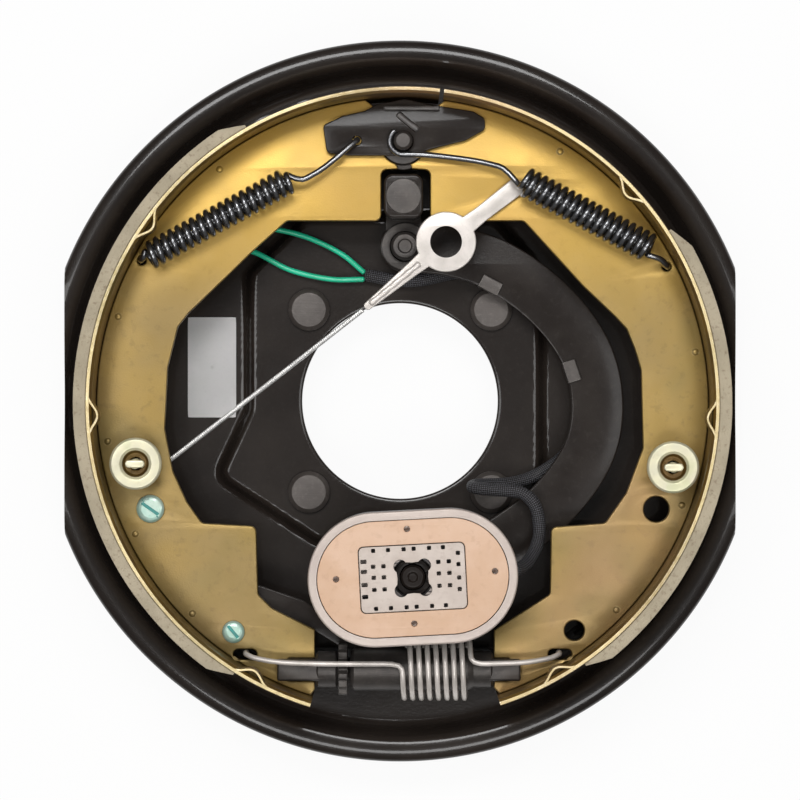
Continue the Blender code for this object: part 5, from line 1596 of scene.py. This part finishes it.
@dataclass
class Magnet:
    """The oval electromagnet on its post, with its perforated core face, spring and clip."""

    length: float = 82.0
    breadth: float = 52.6
    tilt: float = 3.0
    face_z: float = 90.0
    rim_width: float = 3.4
    insert_z: float = 89.5
    floor_z: float = 85.0
    panel: Flat = (41.2, 25.6)
    rivets: Loop = ((2.7, -49.8), (-24.9, -69.4), (37.0, -66.2), (5.6, -86.6))
    rivet_radius: float = 1.2
    spring_radius: float = 8.6

    @staticmethod
    def windows() -> list[tuple[float, float, float]]:
        """Place and width of each small window in the core face, from its middle.

        Returns:
            The windows.
        """
        row = (-14.9, -9.1, -3.0, 0.9, 6.9, 12.3)
        fields = ((row, (11.3,), 1.5), (row, (-11.3,), 1.5),
                  ((-18.9,), (7.2, 3.3, -1.8, -6.5), 2.3), ((18.0,), (8.8, 4.4, -0.8, -5.3), 1.5),
                  ((-15.2, -11.2), (5.1, 0.8, -3.9), 1.6), ((10.2, 14.3), (5.7, 1.2, -3.6), 1.6))
        return [(x, y, width) for xs, ys, width in fields for x in xs for y in ys]

    def oval(self, inset: float = 0.0) -> Outline:
        """The magnet's outline, drawn in by an inset."""
        return stadium(MAGNET_AXIS, self.length - 2 * inset, self.breadth - 2 * inset, self.tilt, 48)

    def lobes(self) -> Outline:
        """The opening round the post: concave sides and a round lobe at each corner.

        Returns:
            The outline.
        """
        opening: Outline = []
        for middle in (45.0, 135.0, 225.0, 315.0):
            opening += arc(polar((0, 0), 6.6, middle), 2.6, middle - 100, middle + 100, 18)
            opening.append(polar((0, 0), 5.9, middle + 45))
        return turned_about(MAGNET_AXIS, opening, self.tilt)

    def case(self) -> Mesh:
        """The case: rim, recess and back, its edges rolled.

        Returns:
            The mesh.
        """
        face = self.face_z
        back = slab([self.oval(5.0)], 68.0, face - 11.6, 0.9, 4)
        recess = slab([self.oval(self.rim_width)], self.floor_z, face + 2.0, 0.1)
        bore = slab([circle(MAGNET_AXIS, 5.3, 48)], 66.0, face, 0.1)
        seat_hole = slab([circle(MAGNET_AXIS, 8.2, 64)], 79.4, face, 0.1)
        return carved(slab([self.oval()], face - 12.0, face, 0.8, 4), recess, bore, seat_hole, adds=[back])

    def faces(self) -> tuple[Mesh, Mesh]:
        """The oval friction face and, in its middle, the core face with its lobed opening.

        Returns:
            The two meshes.
        """
        low, window = self.floor_z + 0.3, (self.panel[0] + 0.6, self.panel[1] + 0.6)
        ring = [self.oval(self.rim_width + 0.3), box_outline(MAGNET_AXIS, window, 2.2, self.tilt),
                *[circle(place, self.rivet_radius, 24) for place in self.rivets]]
        core = [box_outline(MAGNET_AXIS, self.panel, 2.0, self.tilt), self.lobes()]
        for x, y, width in self.windows():
            core.append(turned_about(MAGNET_AXIS, box_outline((x, y), (width, 1.5), 0.35), self.tilt))
        return slab(ring, low, self.insert_z, 0.3), slab(core, low, self.insert_z, 0.28)

    def dress(self) -> None:
        """Seats the magnet's pieces."""
        top = self.face_z
        case = seat(self.case(), "magnet shell", "magnet_case")
        second(case, "magnet steel", lambda center, normal: (center - at(MAGNET_AXIS, top)).length > 18.0
               and (center.z > top - 2.6 or normal.z > 0.75 and center.z > 84.0))
        # Painted shade: the case round the post takes the black arm paint, so the opening reads as a dark
        # hole.
        second(case, "arm paint", lambda center, _: away(center, MAGNET_AXIS) < 14.0)
        face, core_face = self.faces()
        seat(face, "copper face", "magnet_face")
        core = seat(core_face, "cream core", "magnet_core_face")
        # Painted shade: the side walls of the core's windows and lobed opening take the black arm paint, so
        # they read as dark holes.
        second(core, "arm paint", lambda _, normal: abs(normal.z) < 0.6)
        post = [(0, 83.2), (1.4, 83.2), (2.2, 84.0), (3.9, 84.0), (4.8, 83.1), (4.8, 81.4), (4.2, 81.2),
                (4.2, 79.6), (4.8, 79.4), (4.8, 43.7), (8.0, 43.7), (8.0, 41.3), (4.8, 41.3),
                (4.8, ARM_BACK), (7.5, ARM_BACK), (7.3, 34.6), (6.6, 33.1), (0, 33.1)]
        seat(lathe(post, 0.2, 56, MAGNET_AXIS), "arm paint", "magnet_post")
        ring = open_ring(MAGNET_AXIS, (7.4, 56), (5.1, 48), 20, 0.4, (79.7, 80.9, 0.25))
        seat(ring, "arm paint", "magnet_clip")
        path = coil(at(MAGNET_AXIS, 45.0), at(MAGNET_AXIS, 66.7), self.spring_radius, 4.5)
        seat(tube(path, 1.0), "spring steel", "magnet_spring",
             between=("lever", "magnet", at(MAGNET_AXIS, 43.7), at(MAGNET_AXIS, 67.6)))


# The adjuster and its spring

@dataclass
class Adjuster:
    """The star-wheel adjuster between the lower shoe ends: socket, screw and nut on one axis."""

    socket_ends: Flat = (-33.4, -24.7)
    socket_radius: float = 7.2
    nut_ends: Flat = (-19.6, 36.9)
    barrel_end: float = 27.0
    barrel_radius: float = 8.4
    star_ends: Flat = (-24.4, -20.8)
    star_radius: float = 10.4
    teeth: int = 12
    screw_radius: float = 5.0

    @staticmethod
    def lying(mesh: Mesh) -> Mesh:
        """A mesh made about +Z, laid along +X on the adjuster's axis."""
        return placed(mesh, (0.0, ADJUSTER_Y, WEB_MID), Matrix.Rotation(math.pi / 2, 3, "Y"))

    def forked(self, profile: Loop, steps: int, near: float, far: float, floor: float) -> Mesh:
        """A turned piece with a flat end whose slot straddles a web.

        Args:
            profile: the turned piece's profile.
            steps: faces round it.
            near: where the flat end starts.
            far: the flat end's tip.
            floor: the notch floor that it bears on.

        Returns:
            The mesh.
        """
        outward = math.copysign(1, far)
        left, right = sorted((near, far))
        end = block((left, ADJUSTER_Y - 4.3, WEB_MID - 6.5), (right, ADJUSTER_Y + 4.3, WEB_MID + 6.5), 0.9, 3)
        left, right = sorted((floor - outward * 0.3, far + outward * 3))
        slot = block((left, ADJUSTER_Y - 9, WEB_LOW - 0.3), (right, ADJUSTER_Y + 9, WEB_HIGH + 0.3), 0.1, 1)
        return carved(self.lying(lathe(profile, 0.3, steps)), slot, adds=[end])

    def screw(self) -> Mesh:
        """The screw with its cut thread and star wheel.

        Returns:
            The mesh.
        """
        left, right = self.star_ends
        low, root, tip = left - 5.2, self.star_radius - 2.0, self.star_radius
        journal = lathe([(0, left + 0.4), (4.9, left + 0.4), (4.9, low + 0.5), (4.4, low), (0, low)], 0.2, 48)
        thread = threaded(self.screw_radius, right - 0.4, 12.0, 0.62, 40)
        step = 360.0 / self.teeth
        outline = [polar((0, 0), radius, 360.0 * tooth / self.teeth + step * share)
                   for tooth in range(self.teeth)
                   for radius, share in ((root, 0.0), (tip, 0.25), (tip, 0.6), (root, 0.85))]
        wheel = slab([rounded(outline, 0.35, 3)], left, right, 0.35, 3)
        return self.lying(merged(journal, thread, wheel))

    def dress(self) -> None:
        """Seats the socket, the nut and the screw."""
        left, right = self.socket_ends
        radius = self.socket_radius
        socket = [(0, right - 6), (5.3, right - 6), (5.3, right), (6.4, right), (radius, right - 0.8),
                  (radius, left + 1), (6.2, left), (0, left)]
        seat(self.forked(socket, 64, left + 2, -48.5, -44.5), "dark steel", "adjuster_socket")
        left, right = self.nut_ends
        end, radius = self.barrel_end, self.barrel_radius
        nut = [(0, right), (6.2, right), (7.2, right - 1), (7.2, end + 2.0), (radius - 0.4, end + 0.6),
               (radius, end - 0.4), (radius, left + 1.4), (radius - 1.2, left), (5.3, left), (5.3, 14.0),
               (0, 14.0)]
        seat(self.forked(nut, 72, right - 2, 47.6, 43.6), "dark steel", "adjuster_nut")
        seat(self.screw(), "dark steel", "star_wheel_screw")


@dataclass
class AdjusterSpring:
    """The long spring across both shoes, coiled round the adjuster."""

    axis_y: float = -105.8
    radius: float = 12.0
    ends: Flat = (0.8, 28.0)
    turns: int = 8
    turn_points: int = 40
    first_angle: float = 78.5
    wire_radius: float = 1.05
    left_arm: Loop = (
        (-60.9, -99.6, 54.6), (-61.0, -99.6, 62.0), (-60.2, -100.2, 65.0), (-56.0, -101.6, 66.9),
        (-46.0, -103.0, 68.6), (-30.0, -103.4, 70.3), (-3.0, -103.4, 70.4))
    right_arm: Loop = (
        (32.0, -103.4, 70.3), (48.0, -103.0, 68.6), (58.0, -101.6, 66.9), (62.2, -100.2, 65.0),
        (63.0, -99.6, 62.0), (62.9, -99.6, 54.6))

    def dress(self) -> None:
        """Seats the spring."""
        count = self.turns * self.turn_points
        coils = []
        for i in range(count + 1):
            angle = math.radians(self.first_angle) + 2 * math.pi * i / self.turn_points
            x = self.ends[0] + (self.ends[1] - self.ends[0]) * i / count
            coils.append(Vector((x, self.axis_y + self.radius * math.cos(angle),
                                 WEB_MID + self.radius * math.sin(angle))))
        path = spline_through(self.left_arm, 8) + coils + spline_through(self.right_arm, 8)
        seat(tube(eased(path), self.wire_radius, 14), "bright zinc", "adjuster_spring")


@dataclass
class RetractorSpring:
    """A close-wound spring between the anchor and a shoe, with a drawn hook at each end."""

    side: str
    shoe: str
    start: Flat
    end: Flat
    radius: float
    turns: float
    hook: Loop
    tail: Loop
    height: float = 70.2
    wire_radius: float = 1.2

    def dress(self) -> None:
        """Seats the spring, stretched between the plate and its shoe."""
        start, end = at(self.start, self.height), at(self.end, self.height)
        coils = coil(start, end, self.radius, self.turns, 0.5)
        path = spline_through(self.hook, 7) + coils + spline_through(self.tail, 7)
        seat(tube(eased(path), self.wire_radius), "black spring", f"retractor_spring_{self.side}",
             between=("plate", self.shoe, start, end))


def retractor_springs() -> list[RetractorSpring]:
    """The slimmer spring at the left and the thicker one at the right.

    Returns:
        The two springs.
    """
    loop = [at(place, 65.15) for place in arc(ANCHOR_AXIS, 5.2, 130, 275, 14)]
    return [
        RetractorSpring(
            "left", "secondary_shoe", (-43.4, 87.1), (-99.4, 56.6), 4.7, 20,
            [(-17.0, 102.9, 61.9), (-17.0, 102.9, 65.0), (-19.0, 101.2, 66.8), (-30.0, 91.8, 69.0),
             (-39.6, 86.2, 70.0)], [(-101.2, 56.1, 68.8), (-102.2, 55.6, 65.5), (-102.2, 55.6, 57.0)]),
        RetractorSpring(
            "right", "primary_shoe", (48.4, 86.7), (98.8, 59.7), 5.2, 19,
            [*loop, (12.0, 97.0, 65.15), (30.0, 94.6, 67.0), (42.0, 91.6, 69.4)],
            [(102.4, 56.2, 69.0), (105.4, 53.2, 65.6), (105.4, 53.2, 57.0)]),
    ]


# The self-adjusting set: link, cable, guide and pawl

@dataclass
class CableLink:
    """The flat link: a ring with an arm hooked into the primary shoe and a crimped tail."""

    ring: Flat = (18.2, 62.9)
    ring_radius: float = 11.9
    hole_radius: float = 6.3
    hook: Flat = (45.4, 84.2)
    tail: Flat = (-12.7, 37.6)
    cable: Flat = (-14.8, 35.9)
    low: float = 61.2
    high: float = 63.4

    def build(self) -> Mesh:
        """The link with its ring, its peg and the ferrule crimped on the cable.

        Returns:
            The mesh.
        """
        low, high = self.low, self.high
        arm = slab([ribbon([self.hook, self.ring, self.tail], (7.0, 6.4, 8.6, 5.4, 3.2), 20)],
                   low, high, 0.45, 3)
        ring = slab([circle(self.ring, self.ring_radius, 96)], low - 0.02, high + 0.02, 0.5, 3)
        hole = slab([circle(self.ring, self.hole_radius, 72)], low - 3, high + 3, 0.05)
        peg = lathe([(0, high - 0.3), (1.8, high - 0.4), (1.8, 53.5), (1.5, 53.25), (0, 53.25)], 0.0, 32,
                    self.hook)
        toward = (Vector(self.cable) - Vector(self.ring)).normalized()
        start = Vector(self.ring) + toward * (self.ring_radius + 2.0)
        path = [at(start + toward * step, 62.3) for step in np.linspace(0, 24.5, 30)]
        radii = [1.75 - 0.22 * (1 - math.cos(step * 0.9)) * 0.5 for step in range(30)]
        return merged(carved(arm, hole, adds=[ring, peg]), tube(path, radii, 16))

    def dress(self) -> None:
        """Seats the link."""
        seat(self.build(), "bright zinc", "cable_link", smooth_angle=40)


@dataclass
class AdjusterCable:
    """The adjusting cable, laid up from six strands round a core, in two parts that meet at its bend."""

    route: Loop = (
        (-14.8, 35.9, 62.3), (-50.0, 8.5, 58.2), (-84.0, -17.8, 54.0), (-93.0, -24.8, 52.9),
        (-101.0, -31.4, 51.6), (-106.4, -37.8, 50.9), (-107.8, -43.8, 50.9), (-104.8, -50.4, 50.9),
        (-96.0, -58.6, 50.9), (-78.2, -74.2, 50.9))
    radius: float = 1.0
    strands: int = 6
    lay: float = 7.0

    def dress(self) -> None:
        """Seats the cable's part next to the link and its part next to the pawl."""
        line = spline_through(self.route, 30)
        strand = self.radius * 0.36
        around = self.radius - strand
        lengths = np.cumsum([0.0] + [(b - a).length for a, b in zip(line, line[1:])])
        even = np.linspace(0, lengths[-1], int(lengths[-1] / 0.6))
        core = [Vector([float(np.interp(s, lengths, [p[k] for p in line])) for k in range(3)]) for s in even]
        paths = [[] for _ in range(self.strands)]
        for i, place in enumerate(core):
            ahead = (core[min(i + 1, len(core) - 1)] - core[max(i - 1, 0)]).normalized()
            side = ahead.cross(Vector((0, 0, 1))).normalized()
            up = side.cross(ahead)
            for number, path in enumerate(paths):
                angle = 2 * math.pi * (even[i] / self.lay + number / self.strands)
                path.append(place + around * (math.cos(angle) * side + math.sin(angle) * up))
        parting = min(range(len(core)), key=lambda i: (core[i] - Vector(self.route[1])).length)
        for name, part, shoe, end in (("upper", slice(0, parting + 1), "primary_shoe", self.route[0]),
                                      ("lower", slice(parting, None), "secondary_shoe", self.route[3])):
            cable = merged(tube(core[part], around * 0.9, 6), *[tube(path[part], strand, 7) for path in paths])
            seat(cable, "cable strand", "adjuster_cable", f"adjuster_cable_{name}", smooth_angle=60,
                 between=("plate", shoe, self.route[1], end))


@dataclass
class HeadedRivet:
    """A green rivet whose slotted head keeps a film in its slot."""

    node: str
    center: Flat
    radius: float
    height: float
    slot_angle: float
    tail: Loop

    def dress(self) -> None:
        """Seats the rivet."""
        top = BEFORE_WEB + self.height - 0.12
        rivet = seat(slotted_rivet(self.center, self.radius, self.height, self.slot_angle, self.tail),
                     "green zinc", self.node)
        second(rivet, "teal film", lambda center, _: 61.3 < center.z < top
               and away(center, self.center) < self.radius - 1.5)


@dataclass
class CableGuide:
    """The grooved guide behind the secondary web and its slotted rivet."""

    center: Flat = (-98.7, -42.6)
    radius: float = 7.6
    flange: float = 9.6
    groove: Flat = (49.1, 52.7)

    def dress(self) -> None:
        """Seats the guide and its rivet."""
        low, high = self.groove
        radius, flange = self.radius, self.flange
        profile = [(3.0, BEHIND_WEB), (flange, BEHIND_WEB), (flange, high + 0.6), (radius + 0.5, high - 0.4),
                   (radius, (low + high) / 2), (radius + 0.5, low + 0.4), (flange, low - 0.6),
                   (flange, low - 1.6), (3.0, low - 1.6)]
        seat(lathe(profile, 0.35, 64, self.center), "bright zinc", "cable_guide")
        tail = [(2.7, BEFORE_WEB), (2.7, 47.2), (4.6, 47.2), (4.5, 46.6), (3.9, 45.4), (0, 45.4)]
        HeadedRivet("cable_guide_rivet", self.center, 5.5, 2.2, -35.0, tail).dress()


@dataclass
class Pawl:
    """The pawl that pushes the star wheel's teeth, and its rivet on the secondary shoe."""

    center: Flat = (-65.9, -91.3)
    low: float = 50.2
    high: float = 52.6
    corners: Loop = (
        (-77.0, -77.0), (-70.0, -74.0), (-56.0, -73.2), (-37.8, -79.5), (-22.4, -91.5), (-20.8, -97.2),
        (-24.8, -97.2), (-34.0, -91.4), (-48.0, -88.4), (-59.0, -96.0), (-67.0, -98.0), (-72.6, -93.0),
        (-76.4, -83.0))

    def dress(self) -> None:
        """Seats the pawl and its rivet."""
        loops = [rounded(self.corners[::-1], 2.4, 8), circle(self.center, 2.5, 40)]
        seat(slab(loops, self.low, self.high, 0.5, 3), "arm paint", "adjuster_pawl")
        tail = [(2.2, BEFORE_WEB), (2.2, BEHIND_WEB), (3.8, BEHIND_WEB), (3.8, 52.9), (2.2, 52.9),
                (2.2, 49.9), (3.6, 49.9), (3.5, 49.3), (2.9, 48.5), (0, 48.5)]
        HeadedRivet("pawl_rivet", self.center, 4.4, 1.9, -50.0, tail).dress()


@dataclass
class Leads:
    """The two green leads and the braided sleeve that carries them on to the magnet."""

    leads: Sequence[Loop] = (
        ((-68.7, 67.2, 17.5), (-68.7, 67.2, 25.0), (-65.0, 69.4, 29.6), (-53.0, 69.4, 32.0),
         (-38.0, 66.0, 32.2), (-24.0, 59.4, 32.0), (-14.6, 51.8, 31.6)),
        ((-71.3, 64.8, 17.5), (-71.3, 64.8, 24.0), (-67.0, 62.6, 29.0), (-57.0, 59.2, 31.0),
         (-44.0, 52.6, 31.6), (-28.0, 49.0, 31.6), (-14.8, 48.9, 31.6)))
    sleeve: Loop = (
        (-13.2, 50.4, 31.6), (4.0, 48.2, 31.6), (24.0, 51.6, 31.6), (42.0, 51.0, 31.6), (58.0, 38.0, 31.6),
        (70.0, 19.0, 31.6), (74.0, 0.0, 31.6), (70.0, -17.0, 31.6), (57.0, -28.5, 33.0),
        (44.0, -33.0, 36.0), (31.5, -33.5, 39.5), (29.5, -34.5, 45.5), (38.0, -35.4, 48.5),
        (48.0, -36.4, 50.0), (53.6, -41.5, 50.4), (55.4, -50.0, 50.2), (54.4, -57.2, 52.4),
        (50.9, -63.2, 59.0), (47.6, -65.9, 66.5), (45.4, -66.4, 71.0))
    lead_radius: float = 1.1
    sleeve_radius: float = 2.6

    def dress(self) -> None:
        """Seats the leads and the sleeve, stretched between the bodies that they join."""
        for number, route in enumerate(self.leads, 1):
            seat(tube(spline_through(route, 16), self.lead_radius, 16), "green lead",
                 f"green_lead_{number}", between=("plate", "lever", route[3], route[-1]))
        path = spline_through(self.sleeve, 16)
        swell = [self.sleeve_radius * (0.97 + 0.03 * math.sin(i * 0.35)) for i in range(len(path))]
        seat(tube(path, swell, 24), "braided sleeve", "lead_sleeve",
             between=("lever", "magnet", self.sleeve[9], self.sleeve[-2]))


# The studio

@dataclass
class Studio:
    """A pale floor, soft lights and the camera that the photograph was taken with."""

    floor_size: float = 3.0
    floor_white: float = 0.93
    camera_height: float = 1.8
    lens: float = 197.86
    sky: float = 0.18
    lamps: Sequence[Any] = (
        ("key", (-0.1, 0.64, 1.7), (0.9, 0.4), 15.0), ("low", (0.05, -0.62, 1.7), (0.9, 0.35), 9.0),
        ("left", (-0.74, 0.05, 1.6), (0.35, 0.8), 5.0), ("right", (0.74, 0.0, 1.6), (0.35, 0.8), 4.0))

    @staticmethod
    def stand(data: Any, place: Sequence[float]) -> bpy.types.Object:
        """Stands a lamp, a camera or a mesh in the scene, as no part of the brake.

        Args:
            data: what the object holds.
            place: where it stands, in metres.

        Returns:
            The object.
        """
        obj = bpy.data.objects.new(data.name, data)
        obj.location = place
        bpy.context.scene.collection.objects.link(obj)
        return obj

    def floor(self) -> None:
        """The floor: pure white to the camera and in reflections, with the part's shadow kept."""
        mesh = bpy.data.meshes.new("floor")
        half = self.floor_size / 2
        mesh.from_pydata([(-half, -half, 0), (half, -half, 0), (half, half, 0), (-half, half, 0)],
                         [], [(0, 1, 2, 3)])
        self.stand(mesh, (0, 0, -0.0002))
        material = bpy.data.materials.new("floor")
        material.use_nodes = True
        material.node_tree.nodes.clear()
        tree = Wiring(material.node_tree)
        rays = tree.node("LightPath")
        seen = tree.math("MAXIMUM", rays["Is Camera Ray"], rays["Is Glossy Ray"])
        seen = tree.times(tree.math("MAXIMUM", seen, rays["Is Transmission Ray"]), self.floor_white)
        pale = tree.node("BsdfDiffuse", {"Color": (0.8, 0.79, 0.78)})[0]
        white = tree.node("Emission", {"Color": WHITE, "Strength": 1.0})[0]
        tree.node("OutputMaterial", {"Surface": tree.node("MixShader", {0: seen, 1: pale, 2: white})[0]})
        mesh.materials.append(material)

    def lights(self) -> None:
        """Soft boxes above and below the camera's line, one at each hand and a dim even sky."""
        for name, place, size, power in self.lamps:
            light = bpy.data.lights.new(name, "AREA")
            light.shape = "RECTANGLE"
            light.size, light.size_y = size
            light.energy = power
            aim = Vector((0, 0, 0.05)) - Vector(place)
            self.stand(light, place).rotation_euler = aim.to_track_quat("-Z", "Y").to_euler()
        world = bpy.data.worlds.new("sky")
        world.use_nodes = True
        Wiring(world.node_tree).fill(world.node_tree.nodes["Background"].inputs,
                                     {"Color": WHITE, "Strength": self.sky})
        bpy.context.scene.world = world

    def dress(self) -> None:
        """Sets up the floor, the lights and the camera straight above the brake."""
        self.floor()
        self.lights()
        data = bpy.data.cameras.new("camera")
        data.lens, data.sensor_width = self.lens, 36.0
        data.clip_start, data.clip_end = 0.05, 20.0
        bpy.context.scene.camera = self.stand(data, (0.0, 0.0004, self.camera_height))
        bpy.context.scene.view_settings.view_transform = "Standard"


def main() -> None:
    """Builds and dresses each sub-assembly in order, then the stage around it."""
    logging.basicConfig(level=logging.INFO, format="%(message)s")
    for assembly in (
            BackingPlate(), MountingStuds(), AnchorSet(), PlateFittings(), secondary_shoe(), primary_shoe(),
            HoldDown("left", (-103.8, -24.6), 25.0), HoldDown("right", (107.2, -26.0), -60.0), PivotSet(),
            ActuatingArm(), Magnet(), Adjuster(), AdjusterSpring(), *retractor_springs(), CableLink(),
            AdjusterCable(), CableGuide(), Pawl(), Leads(), Studio()):
        assembly.dress()
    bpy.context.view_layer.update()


if __name__ == "__main__":
    main()
